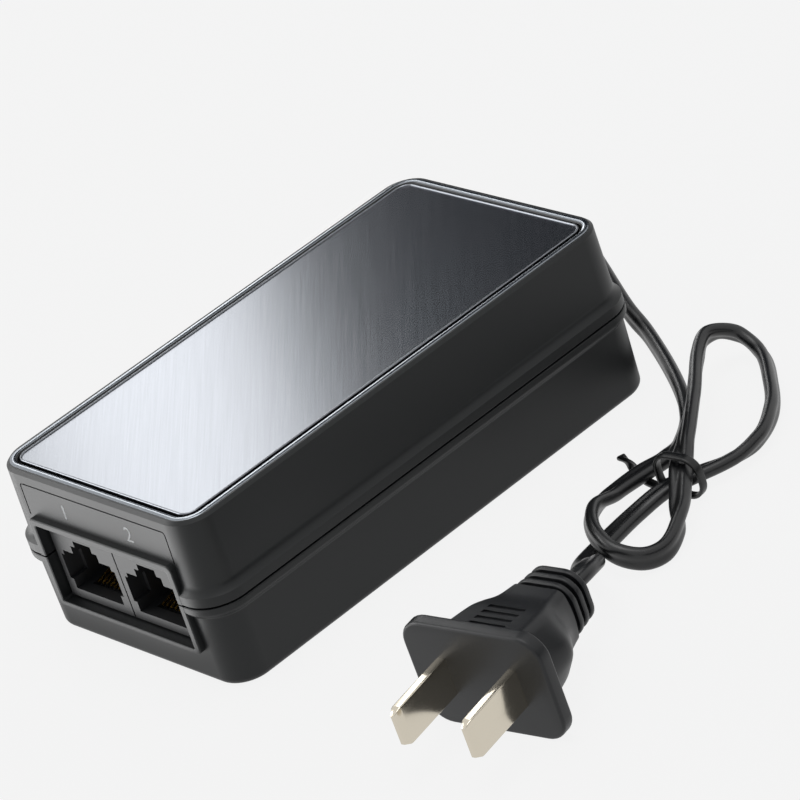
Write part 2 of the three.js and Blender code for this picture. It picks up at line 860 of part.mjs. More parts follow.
// Plug body: flange, waisted grip and ringed strain relief, with slots for the pins and grip panels
function plugBody() {
  const edged = flangeWidth - flangeEdge * 2;
  const edgedHeight = flangeHeight - flangeEdge * 2;
  const flange = loft([
    plugLoop(edged, edgedHeight, flangeRadius - flangeEdge, 0),
    plugLoop(flangeWidth, flangeHeight, flangeRadius, flangeEdge),
    plugLoop(flangeWidth, flangeHeight, flangeRadius, flangeThickness - flangeEdge / 2),
    plugLoop(flangeWidth - flangeEdge, flangeHeight - flangeEdge, flangeRadius, flangeThickness),
  ]);
  // Shares of the grip's length, its width above, its width at the middle and its height
  const gripShares = [
    [-0.05, 0.72, 0.84, 1], [0, 0.72, 0.84, 1], [0.26, 0.7, 0.95, 0.94], [0.49, 0.65, 1, 0.87],
    [0.72, 0.53, 0.75, 0.74], [0.9, 0.48, 0.58, 0.68], [1, 0.46, 0.54, 0.66],
  ];
  const grip = loft(gripShares.map(([along, above, middle, high]) => gripLoop(
    gripWidth * above,
    gripWidth * middle,
    gripHeight * high,
    flangeThickness + gripLength * along,
  )));
  const ringStart = flangeThickness + gripLength;
  const ringPitch = plugRingLength + plugRingGap;
  const tailLength = ringPitch * plugRingCount;
  const loops = [plugLoop(
    plugRingWidth - plugRingDepth * 2,
    plugRingHeight - plugRingDepth * 2,
    plugRingRadius - plugRingDepth / 2,
    ringStart - fit,
  )];
  for (let i = 0; i < plugRingCount; i++) {
    const steps = [[0, plugRingDepth], [plugRingGap, plugRingDepth], [plugRingGap, 0], [ringPitch, 0]];
    for (const [along, groove] of steps) {
      const share = (i * ringPitch + along) / tailLength;
      loops.push(plugLoop(
        THREE.MathUtils.lerp(plugRingWidth, plugTailWidth, share) - groove * 2,
        THREE.MathUtils.lerp(plugRingHeight, plugTailHeight, share) - groove * 2,
        plugRingRadius - groove / 2,
        ringStart + i * ringPitch + along,
      ));
    }
  }
  const slots = [-pinSpacing / 2, pinSpacing / 2].map((x) => block(
    x - pinThickness / 2 - fit,
    x + pinThickness / 2 + fit,
    -overrun,
    pinRoot + fit,
    -pinWidth / 2 - fit,
    pinWidth / 2 + fit,
  ));
  const panels = [];
  const panelStart = flangeThickness + panelSetback;
  const ribPitch = panelLength / (panelRibs * 2 + 1);
  for (const side of [-1, 1]) {
    for (let i = 0; i <= panelRibs; i++) {
      const y = panelStart + ribPitch * i * 2;
      const inner = side * (gripHeight / 2 * panelFloorShare);
      const outer = side * (gripHeight / 2 + overrun);
      panels.push(block(
        -panelWidth / 2,
        panelWidth / 2,
        y,
        y + ribPitch,
        Math.min(inner, outer),
        Math.max(inner, outer),
      ));
    }
  }
  return cut(join(flange, grip, loft(loops)), ...slots, ...panels);
}

// A flat pin with a tapered tip, in the plug's own frame
function plugPin(x) {
  const loops = [
    [pinTipThickness, pinWidth - pinTipTaper, -pinLength],
    [pinThickness, pinWidth, -pinLength + pinTipTaper],
    [pinThickness, pinWidth, pinRoot],
  ].map(([thick, wide, y]) => [[1, 1], [-1, 1], [-1, -1], [1, -1]].map(([a, b]) => [
    x - a * thick / 2,
    y,
    b * wide / 2,
  ]));
  return loft(loops);
}

// A radial can with a rounded lid, standing on the board
function can(x, y, radius, height) {
  const base = boardTop + fit;
  const profile = [
    [0, 0], [radius - canEdge, 0], [radius, canEdge],
    [radius, height - canEdge], [radius - canEdge, height], [0, height],
  ];
  return new THREE.LatheGeometry(profile.map(([r, z]) => new THREE.Vector2(r, z)), canSides)
    .rotateX(Math.PI / 2)
    .translate(x, y, base);
}

function onBoard(x, y, [sizeX, sizeY, sizeZ]) {
  const base = boardTop + fit;
  return block(x - sizeX / 2, x + sizeX / 2, y - sizeY / 2, y + sizeY / 2, base, base + sizeZ);
}

// A ring core with its windings, lying flat
function lineChoke(x, y) {
  const profile = [
    [chokeBore, 0], [chokeRadius - canEdge, 0], [chokeRadius, canEdge], [chokeRadius, chokeHeight - canEdge],
    [chokeRadius - canEdge, chokeHeight], [chokeBore, chokeHeight], [chokeBore, 0],
  ];
  return new THREE.LatheGeometry(profile.map(([r, z]) => new THREE.Vector2(r, z)), canSides)
    .rotateX(Math.PI / 2)
    .translate(x, y, boardTop + fit);
}

// Two E-shaped ferrite halves closed into a frame round the winding
function transformerCore(x, y) {
  const height = headroom * coreHeightShare;
  const halfX = roomWidth * windingWidthShare / 2 + fit;
  const halfZ = headroom * windingHeightShare / 2 + fit;
  const middle = boardTop + fit + height / 2;
  const outside = onBoard(x, y, [roomWidth * coreWidthShare, coreDepth, height]);
  const hole = block(
    x - halfX,
    x + halfX,
    y - windingLength,
    y + windingLength,
    middle - halfZ,
    middle + halfZ,
  );
  return cut(solid(outside), hole);
}

function transformerWinding(x, y) {
  const halfX = roomWidth * windingWidthShare / 2;
  const halfZ = headroom * windingHeightShare / 2;
  const middle = boardTop + fit + headroom * coreHeightShare / 2;
  const shape = roundedShape(halfX, halfZ, windingRadius, filletSteps, x, middle);
  return alongY(shape, y - windingLength / 2, y + windingLength / 2);
}

// An upright aluminium plate with a foot turned in over the board
function heatSink(x, y) {
  const base = boardTop + fit;
  const front = y - sinkLength / 2;
  const top = base + headroom * sinkHeightShare;
  const upright = block(x, x + sinkThickness, front, y + sinkLength / 2, base, top);
  const footEnd = y - sinkLength * sinkFootShare;
  const foot = block(x - sinkFoot, x + fit, front, footEnd, base, base + sinkThickness);
  return join(upright, foot);
}

// A power transistor, its moulded body and its tab flat against the heat sink
function switchTransistor(x, y) {
  const base = boardTop + fit * 2 + sinkThickness;
  const [depthShare, heightShare] = transistorBodyShares;
  const left = y - transistorWidth / 2;
  const right = y + transistorWidth / 2;
  const tabBack = x - fit;
  const tabFront = tabBack - transistorTabThickness;
  const tab = block(tabFront, tabBack, left, right, base, base + headroom * transistorTabShare);
  const bodyFront = tabFront - roomWidth * depthShare;
  const body = block(bodyFront, tabFront + fit, left, right, base, base + headroom * heightShare);
  return join(tab, body);
}

function outputChoke(x, y) {
  const profile = [
    [0, 0], [drumRadius, 0], [drumRadius, drumFlange], [drumWaist, drumFlange],
    [drumWaist, drumHeight - drumFlange], [drumRadius, drumHeight - drumFlange],
    [drumRadius, drumHeight], [0, drumHeight],
  ];
  return new THREE.LatheGeometry(profile.map(([r, z]) => new THREE.Vector2(r, z)), canSides)
    .rotateX(Math.PI / 2)
    .translate(x, y, boardTop + fit);
}

function discCapacitor(x, y) {
  return new THREE.CylinderGeometry(discRadius, discRadius, discThickness, canSides)
    .translate(x, y, boardTop + fit + discRadius);
}

function chip(x, y) {
  const base = boardTop + fit;
  const level = (inset, z) => [[1, 1], [-1, 1], [-1, -1], [1, -1]].map(([a, b]) => [
    x + a * (roomWidth * chipWidthShare / 2 - inset),
    y + b * (chipLength / 2 - inset),
    z,
  ]);
  return loft([level(chipBevel, base), level(0, base + chipHeight / 2), level(chipBevel, base + chipHeight)]);
}

function finish(colour, roughness, metalness = 0) {
  return new THREE.MeshStandardMaterial({ color: colour, roughness, metalness });
}

const casePlastic = finish(0x2b2d2e, 0.45);
const plateFinish = finish(0x6f7280, 0.3, 0.4);
const jackPlastic = finish(0x111213, 0.5);
const carrierPlastic = finish(0x1b1c1e, 0.5);
const contactGold = finish(0xd4a94a, 0.25, 1);
const boardGreen = finish(0x1f5a34, 0.6);
const leadPlastic = finish(0x141415, 0.4);
const plugPlastic = finish(0x232427, 0.45);
const tiePlastic = finish(0x0c0c0d, 0.5);
const nickel = finish(0xc9c4ba, 0.25, 1);
const epoxy = finish(0x222222, 0.6);
const canSleeve = finish(0x24304a, 0.4);
const ferrite = finish(0x3a3a3c, 0.8);
const windingTape = finish(0xc9b23a, 0.5);
const aluminium = finish(0xb9bcc0, 0.35, 1);
const copper = finish(0xa5622f, 0.4, 1);
const ceramicBlue = finish(0x2c5fa0, 0.5);

const injector = new THREE.Group();

function add(parent, name, shape, material) {
  const geometry = shape instanceof wasm.Manifold ? geometryOf(shape) : shape;
  const mesh = new THREE.Mesh(geometry, material);
  mesh.name = name;
  parent.add(mesh);
  return mesh;
}

add(injector, 'upper_shell', upperShell(), casePlastic);
add(injector, 'lower_shell', lowerShell(), casePlastic);
add(injector, 'top_plate', topPlate(), plateFinish);
add(injector, 'circuit_board', board(), boardGreen);

for (const [side, centre] of Object.entries(jackCentres)) {
  add(injector, `jack_housing_${side}`, jackHousing(centre), jackPlastic);
  add(injector, `contact_carrier_${side}`, contactCarrier(centre), carrierPlastic);
  contactPlaces().forEach((x, i) => {
    add(injector, `contact_${side}_${i + 1}`, contactArm(centre + x), contactGold);
  });
}

// Places on the board, as shares of half its width and half its length
const placeShares = {
  fuse: [0.37, 0.88],
  bridge: [0.74, 0.63],
  mainsCapacitor: [-0.6, 0.56],
  lineChoke: [0.09, 0.63],
  transformer: [-0.23, 0.09],
  heatSink: [0.85, 0.12],
  chip: [0.46, 0.12],
  disc: [0.6, -0.28],
  firstCapacitor: [-0.69, -0.37],
  secondCapacitor: [-0.23, -0.37],
  outputChoke: [0.23, -0.42],
};
const place = Object.fromEntries(Object.entries(placeShares).map(([name, [shareX, shareY]]) => [
  name,
  [shareX * cavityHalfX, shareY * cavityHalfY],
]));

add(injector, 'fuse', onBoard(...place.fuse, fuseSize), epoxy);
add(injector, 'bridge_rectifier', onBoard(...place.bridge, bridgeSize), epoxy);
add(
  injector,
  'mains_capacitor',
  can(...place.mainsCapacitor, mainsCapacitorRadius, headroom * mainsCapacitorHeightShare),
  canSleeve,
);
add(injector, 'line_choke', lineChoke(...place.lineChoke), copper);
add(injector, 'transformer_core', transformerCore(...place.transformer), ferrite);
add(injector, 'transformer_winding', transformerWinding(...place.transformer), windingTape);
add(injector, 'heat_sink', heatSink(...place.heatSink), aluminium);
add(injector, 'switch_transistor', switchTransistor(...place.heatSink), epoxy);
add(injector, 'controller_chip', chip(...place.chip), epoxy);
add(injector, 'safety_capacitor', discCapacitor(...place.disc), ceramicBlue);
add(
  injector,
  'output_capacitor_1',
  can(...place.firstCapacitor, filterCapacitorRadius, headroom * filterCapacitorHeightShare),
  canSleeve,
);
add(
  injector,
  'output_capacitor_2',
  can(...place.secondCapacitor, filterCapacitorRadius, headroom * filterCapacitorHeightShare),
  canSleeve,
);
add(injector, 'output_choke', outputChoke(...place.outputChoke), ferrite);

const relief = add(injector, 'cord_strain_relief', strainRelief(), leadPlastic);
relief.position.set(-reliefOffset, 0, partingHeight);

add(injector, 'mains_cord', mainsLead(), leadPlastic);
add(injector, 'cord_tie', twistTie(), tiePlastic);

const plug = new THREE.Group();
plug.position.set(...plugPlace, flangeHeight / 2);
plug.rotation.order = 'ZXY';
plug.rotation.z = THREE.MathUtils.degToRad(plugTurn);
plug.rotation.x = THREE.MathUtils.degToRad(plugPitch);
injector.add(plug);
add(plug, 'plug_body', plugBody(), plugPlastic);
add(plug, 'plug_pin_left', plugPin(-pinSpacing / 2), nickel);
add(plug, 'plug_pin_right', plugPin(pinSpacing / 2), nickel);

export default injector;
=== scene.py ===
import math

import bmesh
import bpy
import numpy as np
from mathutils import Matrix, Vector


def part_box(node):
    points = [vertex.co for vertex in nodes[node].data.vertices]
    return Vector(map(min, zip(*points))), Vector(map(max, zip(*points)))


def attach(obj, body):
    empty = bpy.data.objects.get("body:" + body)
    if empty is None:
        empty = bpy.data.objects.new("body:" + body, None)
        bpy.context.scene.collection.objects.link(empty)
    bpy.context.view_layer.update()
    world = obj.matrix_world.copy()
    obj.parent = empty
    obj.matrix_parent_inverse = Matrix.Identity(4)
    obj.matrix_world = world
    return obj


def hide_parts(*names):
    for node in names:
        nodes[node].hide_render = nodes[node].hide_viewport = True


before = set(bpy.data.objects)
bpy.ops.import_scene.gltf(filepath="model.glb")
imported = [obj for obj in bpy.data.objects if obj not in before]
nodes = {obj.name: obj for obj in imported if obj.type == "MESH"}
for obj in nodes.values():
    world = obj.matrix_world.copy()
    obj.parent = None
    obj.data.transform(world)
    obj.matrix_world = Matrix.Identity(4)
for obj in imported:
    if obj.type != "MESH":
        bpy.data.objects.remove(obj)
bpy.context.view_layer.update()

scene = bpy.context.scene
scene.view_settings.view_transform = "Standard"
mm = 0.001

# Camera
# A long lens looks down on the injector from the right of its front. The frame is tilted, so that
# the case runs up from the lower left and the lead lies to its right.
camera_place = Vector((549.62, -354.88, 366.89)) * mm
camera_azimuth = math.radians(56.15)
camera_elevation = math.radians(28.33)
camera_roll = math.radians(-18.75)
camera_lens = 216.8

away = Vector((
    math.sin(camera_azimuth) * math.cos(camera_elevation),
    -math.cos(camera_azimuth) * math.cos(camera_elevation),
    math.sin(camera_elevation),
))
level = Vector((math.cos(camera_azimuth), math.sin(camera_azimuth), 0))
steep = away.cross(level)
right = level * math.cos(camera_roll) + steep * math.sin(camera_roll)
turned = Matrix((right, away.cross(right), away)).transposed().to_4x4()
camera = bpy.data.objects.new("camera", bpy.data.cameras.new("camera"))
camera.data.lens = camera_lens
camera.data.clip_start = 0.01
camera.matrix_world = Matrix.Translation(camera_place) @ turned
scene.collection.objects.link(camera)
scene.camera = camera

# Mains lead
# A flat twin flex: two round cores side by side in one black PVC sheath, with a groove between them.
# It leaves the rear wall, is doubled back on itself twice and tied, and runs on into the plug.
lead_width = 3.7 * mm
lead_thickness = 2.1 * mm
lead_web = 0.33 * mm
lead_step = 0.45 * mm
lead_sides = 48
lead_cuts = 24
sharp_angle = math.radians(38)
# Each point is x, y, z in metres, and the turn of the flat section in degrees, 90 standing on edge
lead_route = np.array([
    [-0.0120, 0.0545, 0.0148, 0], [-0.0120, 0.0565, 0.0146, 0], [-0.0115, 0.0595, 0.0135, 10],
    [-0.0085, 0.0620, 0.0110, 30], [-0.0045, 0.0610, 0.0078, 55], [0.0105, 0.0540, 0.0040, 85],
    [0.0160, 0.0520, 0.0023, 90], [0.0365, 0.0390, 0.0021, 85], [0.0430, 0.0315, 0.0020, 50],
    [0.0448, 0.0265, 0.0022, 10], [0.0443, 0.0215, 0.0024, 0], [0.0445, 0.0150, 0.0028, 10],
    [0.0470, 0.0085, 0.0043, 65], [0.0535, 0.0032, 0.0049, 80], [0.0583, 0.0023, 0.0037, 90],
    [0.0615, 0.0043, 0.0024, 90], [0.0625, 0.0075, 0.0020, 90], [0.0610, 0.0120, 0.0025, 95],
    [0.0570, 0.0173, 0.0038, 160], [0.0526, 0.0225, 0.0050, 180], [0.0485, 0.0280, 0.0055, 135],
    [0.0420, 0.0365, 0.0058, 115], [0.0340, 0.0460, 0.0061, 105], [0.0315, 0.0503, 0.0065, 120],
    [0.0320, 0.0535, 0.0058, 140], [0.0340, 0.0555, 0.0042, 125], [0.0380, 0.0550, 0.0022, 105],
    [0.0455, 0.0492, 0.0021, 95], [0.0515, 0.0430, 0.0021, 85], [0.0550, 0.0360, 0.0020, 60],
    [0.0548, 0.0302, 0.0019, 30], [0.0530, 0.0250, 0.0022, 15], [0.0510, 0.0200, 0.0022, 5],
    [0.0500, 0.0135, 0.0013, 5], [0.0510, 0.0057, 0.0012, 0], [0.0523, 0.0005, 0.0015, 0],
    [0.0555, -0.0025, 0.0032, 0], [0.0605, -0.0040, 0.0068, 0], [0.0647, -0.0089, 0.0097, 0],
    [0.0656, -0.01365, 0.00975, 0],
])
lead_black = "0D0E10"
lead_grain = 0.5 * mm
lead_grain_depth = 0.02 * mm


def follow(points, steps):
    """Centripetal Catmull-Rom curve. Between two points a cubic leaves each of them along the blend of
    its two chords, each chord divided by the square root of its length."""
    p = np.vstack([2 * points[0] - points[1], points, 2 * points[-1] - points[-2]])
    gap = np.sqrt(np.linalg.norm(np.diff(p, axis=0), axis=1))[:, None]
    g0, g1, g2 = gap[:-2], gap[1:-1], gap[2:]
    a, b, c, d = p[:-3], p[1:-2], p[2:-1], p[3:]
    leave = ((b - a) / g0 - (c - a) / (g0 + g1) + (c - b) / g1) * g1
    arrive = ((c - b) / g1 - (d - b) / (g1 + g2) + (d - c) / g2) * g1
    t = np.linspace(0, 1, steps, endpoint=False)[None, :, None]
    b, c, leave, arrive = (v[:, None] for v in (b, c, leave, arrive))
    bend = (2 * t**3 - 3 * t**2 + 1) * b + (3 * t**2 - 2 * t**3) * c
    bend = bend + (t**3 - 2 * t**2 + t) * leave + (t**3 - t**2) * arrive
    return np.vstack([bend.reshape(-1, points.shape[1]), points[-1]])


def skin(name, *grids):
    """Makes one object of closed skins. A grid is rings of points, rings by points by x, y, z: each
    point is joined to its neighbour round the ring and to the next ring, and the two end rings are
    closed by a flat face. Where the last ring is the first one again, the skin closes on itself."""
    points, faces, first = [], [], 0
    for grid in grids:
        hoop = np.allclose(grid[0], grid[-1])
        grid = grid[:-1] if hoop else grid
        at = first + np.arange(grid.shape[0] * grid.shape[1]).reshape(grid.shape[:2])
        here = at if hoop else at[:-1]
        on = np.roll(at, -1, 0) if hoop else at[1:]
        quads = np.stack([here, np.roll(here, -1, 1), np.roll(on, -1, 1), on], -1)
        faces += quads.reshape(-1, 4).tolist()
        if not hoop:
            faces += [at[0][::-1].tolist(), at[-1].tolist()]
        points.append(grid.reshape(-1, 3))
        first += at.size
    mesh = bpy.data.meshes.new(name)
    mesh.from_pydata(np.vstack(points).tolist(), [], faces)
    piece = bpy.data.objects.new(name, mesh)
    scene.collection.objects.link(piece)
    smooth(piece)
    return piece


def smooth(piece):
    """Turns every face outward and shades the piece smooth, with its sharper edges kept."""
    shape = bmesh.new()
    shape.from_mesh(piece.data)
    bmesh.ops.recalc_face_normals(shape, faces=shape.faces)
    shape.to_mesh(piece.data)
    shape.free()
    piece.data.shade_smooth()
    piece.data.set_sharp_from_angle(angle=sharp_angle)


def linear(code):
    """An sRGB hex value as linear red, green, blue and alpha."""
    parts = [int(code[i:i + 2], 16) / 255 for i in (0, 2, 4)]
    return [c / 12.92 if c <= 0.04045 else ((c + 0.055) / 1.055) ** 2.4 for c in parts] + [1]


def add(tree, kind, inputs=(), **settings):
    """Adds one node. An input is a value, or another node's output that is linked to it."""
    node = tree.nodes.new(kind)
    for name, value in settings.items():
        setattr(node, name, value)
    for name, value in dict(inputs).items():
        if isinstance(value, bpy.types.NodeSocket):
            tree.links.new(value, node.inputs[name])
        else:
            node.inputs[name].default_value = value
    return node


def new_material(name):
    """A material with an empty node tree, and the tree."""
    material = bpy.data.materials.new(name)
    material.use_nodes = True
    material.node_tree.nodes.clear()
    return material, material.node_tree


def sheathed_pvc():
    """Extruded PVC: glossy black, drawn smooth, with a faint waviness that breaks up its highlights."""
    material, tree = new_material("extruded PVC sheath")
    place = add(tree, "ShaderNodeTexCoord").outputs["Object"]
    wave = add(tree, "ShaderNodeTexNoise", {"Vector": place, "Scale": 1 / (6 * mm), "Detail": 3})
    grain = add(tree, "ShaderNodeTexNoise", {"Vector": place, "Scale": 1 / lead_grain, "Detail": 2})
    rough = add(tree, "ShaderNodeMapRange", {"Value": wave.outputs["Fac"], "To Min": 0.26, "To Max": 0.42})
    bump = add(tree, "ShaderNodeBump", {
        "Height": grain.outputs["Fac"], "Strength": 0.25, "Distance": lead_grain_depth,
    })
    shader = add(tree, "ShaderNodeBsdfPrincipled", {
        "Base Color": linear(lead_black), "IOR": 1.53,
        "Roughness": rough.outputs["Result"], "Normal": bump.outputs["Normal"],
    })
    add(tree, "ShaderNodeOutputMaterial", {"Surface": shader.outputs["BSDF"]})
    return material


lead_run = follow(lead_route[:, :3], lead_cuts)
travel = np.r_[0, np.cumsum(np.linalg.norm(np.diff(lead_run, axis=0), axis=1))]
lead_length = travel[-1]
stations = np.linspace(0, lead_length, round(lead_length / lead_step))
lead_centres = np.stack([np.interp(stations, travel, lead_run[:, k]) for k in range(3)], 1)
passed = np.interp(stations, travel, np.arange(len(lead_run)) / lead_cuts)
last_point = np.minimum(passed.astype(int), len(lead_route) - 2)
eased = (passed - last_point) ** 2 * (3 - 2 * (passed - last_point))
turns = np.radians(lead_route[:, 3])
turn = (turns[last_point] * (1 - eased) + turns[last_point + 1] * eased)[:, None]
along = np.gradient(lead_centres, axis=0)
along = along / np.linalg.norm(along, axis=1)[:, None]
across = np.cross([0, 0, 1], along)
across = across / np.linalg.norm(across, axis=1)[:, None]
rise = np.cross(along, across)
wide = across * np.cos(turn) + rise * np.sin(turn)
thick = rise * np.cos(turn) - across * np.sin(turn)
# Section: half its thickness at a place across it is the height of a circle round the nearer core,
# with the two circles blended over the web
spin = np.arange(lead_sides) / lead_sides * 2 * math.pi
core = lead_thickness / 2
section_x = lead_width / 2 * np.cos(spin)
core_shift = math.hypot(lead_width / 2, lead_web) - core
section_y = np.sqrt(np.maximum(core**2 - (np.hypot(section_x, lead_web) - core_shift) ** 2, 0))
section_y = section_y * np.sign(np.sin(spin))
lead_rings = lead_centres[:, None] + wide[:, None] * section_x[None, :, None]
lead_rings = lead_rings + thick[:, None] * section_y[None, :, None]
lead = skin("flat_twin_lead", lead_rings)
lead.data.materials.append(sheathed_pvc())
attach(lead, "case")
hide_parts("mains_cord")

# Strain relief of the lead
# A sleeve of softer PVC moulded onto the lead. A groove round it is gripped by the rear wall, and
# its tail tapers from round to the flat of the lead, with three ribs that let it bend.
relief_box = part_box("cord_strain_relief")
relief_x = (relief_box[0].x + relief_box[1].x) / 2
sleeve_black = "15161A"


def moulded_pvc(name, colour, grain_size, roughness):
    """Soft PVC moulded in a fine-eroded tool: matt black, with a fine grain that greys its highlights."""
    material, tree = new_material(name)
    place = add(tree, "ShaderNodeTexCoord").outputs["Object"]
    grain = add(tree, "ShaderNodeTexNoise", {"Vector": place, "Scale": 1 / grain_size, "Detail": 4})
    cloud = add(tree, "ShaderNodeTexNoise", {"Vector": place, "Scale": 1 / (9 * mm), "Detail": 3})
    rough = add(tree, "ShaderNodeMapRange", {
        "Value": cloud.outputs["Fac"], "To Min": roughness - 0.06, "To Max": roughness + 0.06,
    })
    bump = add(tree, "ShaderNodeBump", {
        "Height": grain.outputs["Fac"], "Strength": 0.3, "Distance": 0.02 * mm,
    })
    shader = add(tree, "ShaderNodeBsdfPrincipled", {
        "Base Color": linear(colour), "IOR": 1.53, "Specular IOR Level": 0.4,
        "Roughness": rough.outputs["Result"], "Normal": bump.outputs["Normal"],
    })
    add(tree, "ShaderNodeOutputMaterial", {"Surface": shader.outputs["BSDF"]})
    return material


relief = nodes["cord_strain_relief"]
relief.data.materials.clear()
sleeve_pvc = moulded_pvc("moulded PVC sleeve", sleeve_black, grain_size=0.3 * mm, roughness=0.46)
relief.data.materials.append(sleeve_pvc)

# Twist tie
# A flat strip of black plastic with a wire in it, bent once round two strands of the lead where they
# cross. Its two ends lie together under the third strand and are twisted beyond it.
tie_centre = np.array([52.4, 22]) * mm
tie_turn = math.radians(8)
tie_width = 8.8 * mm
tie_height = 7.4 * mm
tie_radius = 3 * mm
tie_thickness = 0.6 * mm
tie_band = 1.5 * mm
tie_tail = np.array([
    [50.2, 21.7, 0.5], [44.5, 22, 0.46], [41.5, 22.9, 0.6], [39, 23.7, 1.15], [36, 24.7, 1.25],
]) * mm
tie_tail_width = 1.5 * mm
tie_tail_thickness = 0.8 * mm
tie_tail_flat = 0.6
# The radius of its edges, as a share of half its thickness
tie_edge = 0.8
tie_black = "08090A"


def rounded_loop(half_x, half_y, radius, steps):
    """The outline of a rectangle with quarter circles at its corners, anticlockwise from the first
    corner's start. Returns points by x, y."""
    angle = (np.arange(4)[:, None] + np.linspace(0, 1, steps + 1)) * math.pi / 2
    side_x = np.array([1, -1, -1, 1])[:, None]
    side_y = np.array([1, 1, -1, -1])[:, None]
    x = side_x * (half_x - radius) + radius * np.cos(angle)
    y = side_y * (half_y - radius) + radius * np.sin(angle)
    return np.stack([x.ravel(), y.ravel()], -1)


# Band: the strip's own rounded section is carried round the loop of the tie
middle = rounded_loop(tie_width / 2 - tie_thickness / 2, tie_height / 2 - tie_thickness / 2,
                      tie_radius - tie_thickness / 2, 12)
ahead = np.roll(middle, -1, 0) - np.roll(middle, 1, 0)
outward = np.stack([ahead[:, 1], -ahead[:, 0]], -1)
outward = outward / np.linalg.norm(outward, axis=1)[:, None]
strip = rounded_loop(tie_band / 2, tie_thickness / 2, tie_thickness / 2 * tie_edge, 3)
band = np.zeros((len(middle), len(strip), 3))
band[..., 0] = middle[:, None, 0] + outward[:, None, 0] * strip[None, :, 1]
band[..., 1] = strip[None, :, 0]
band[..., 2] = middle[:, None, 1] + outward[:, None, 1] * strip[None, :, 1] + tie_height / 2
spun = np.array([[math.cos(tie_turn), -math.sin(tie_turn)], [math.sin(tie_turn), math.cos(tie_turn)]])
band[..., :2] = band[..., :2] @ spun.T + tie_centre
band = np.concatenate([band, band[:1]])
# Tail: two strips together, flat at first and then turned half round about their own line
tail_line = follow(tie_tail, 14)
tail_along = np.gradient(tail_line, axis=0)
tail_along = tail_along / np.linalg.norm(tail_along, axis=1)[:, None]
tail_across = np.cross(tail_along, [0, 0, 1])
tail_across = tail_across / np.linalg.norm(tail_across, axis=1)[:, None]
tail_rise = np.cross(tail_across, tail_along)
tail_share = np.linspace(0, 1, len(tail_line))[:, None]
tail_turn = np.maximum(0, tail_share - tie_tail_flat) / (1 - tie_tail_flat) * math.pi
tail_u = tail_across * np.cos(tail_turn) + tail_rise * np.sin(tail_turn)
tail_v = tail_rise * np.cos(tail_turn) - tail_across * np.sin(tail_turn)
tail_strip = rounded_loop(tie_tail_width / 2, tie_tail_thickness / 2, tie_tail_thickness / 2 * tie_edge, 3)
tail = tail_line[:, None] + tail_u[:, None] * tail_strip[None, :, :1]
tail = tail + tail_v[:, None] * tail_strip[None, :, 1:]
tie = skin("twist_tie", band, tail)
tie.data.materials.append(moulded_pvc("coated wire tie", tie_black, grain_size=0.4 * mm, roughness=0.34))
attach(tie, "case")
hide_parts("cord_tie")

# Plug body
# Black PVC moulded in one shot round the pins and the end of the lead: a square flange, a grip whose
# sides swell and draw in behind it, four grooves above and below, and three rings for the bend.
plug_place = np.array([69.53, -35]) * mm
plug_turn = math.radians(10.5)
plug_pitch = math.radians(2)
flange_width = 25 * mm
flange_height = 18 * mm
flange_thickness = 2.4 * mm
flange_radius = 4 * mm
flange_edge = 0.5 * mm
grip_length = 14 * mm
grip_width = 20 * mm
grip_height = 13.8 * mm
grip_edge = 1.4 * mm
grip_wing = 2.6 * mm
ring_count = 3
ring_length = 1 * mm
ring_gap = 0.65 * mm
ring_depth = 0.7 * mm
ring_width = 10.8 * mm
ring_height = 9.4 * mm
ring_radius = 3.2 * mm
ring_round = 0.3 * mm
tail_width = 9.8 * mm
tail_height = 9 * mm
panel_width = 6.4 * mm
panel_start = 4.2 * mm
panel_pitch = 1.6 * mm
panel_groove = 0.28 * mm
panel_grooves = 4
plug_black = "0F1114"


def as_plug(local):
    """Turns and moves points from the plug's own frame, y running back from the flange, to its place."""
    y = local[..., 1] * math.cos(plug_pitch) - local[..., 2] * math.sin(plug_pitch)
    z = local[..., 1] * math.sin(plug_pitch) + local[..., 2] * math.cos(plug_pitch) + flange_height / 2
    c, s = math.cos(plug_turn), math.sin(plug_turn)
    x = local[..., 0] * c - y * s + plug_place[0]
    return np.stack([x, local[..., 0] * s + y * c + plug_place[1], z], -1)


def box_section(half_x, half_z, radius, y, steps=8):
    """One rounded rectangle square to the plug's line, y back from the face of the flange."""
    loop = rounded_loop(half_x, half_z, radius, steps)
    return np.stack([loop[:, 0], np.full(len(loop), y), loop[:, 1]], -1)


def grip_section(above, middle, height, y, steps=6):
    """One section of the grip: six sides, flat above and below and widest at the middle. Each corner
    is a quadratic curve that starts and ends a fixed way along the two sides that meet there."""
    corners = np.array([[middle, 0], [above, height], [-above, height], [-middle, 0],
                        [-above, -height], [above, -height]]) / 2
    reach = np.array([grip_wing, grip_edge, grip_edge, grip_wing, grip_edge, grip_edge])[:, None]
    before = np.roll(corners, 1, 0) - corners
    after = np.roll(corners, -1, 0) - corners
    before = corners + before / np.linalg.norm(before, axis=1)[:, None] * reach
    after = corners + after / np.linalg.norm(after, axis=1)[:, None] * reach
    t = np.linspace(0, 1, steps + 1)[None, :, None]
    loop = (1 - t) ** 2 * before[:, None] + 2 * t * (1 - t) * corners[:, None] + t**2 * after[:, None]
    loop = loop.reshape(-1, 2)
    return np.stack([loop[:, 0], np.full(len(loop), y), loop[:, 1]], -1)


def rounded_edge(depth, steps=5):
    """Quarter circle from a face to a side: (how far in from the side, how far from the face)."""
    a = np.linspace(0, math.pi / 2, steps + 1)
    return [(depth * (1 - math.sin(t)), depth * (1 - math.cos(t))) for t in a]


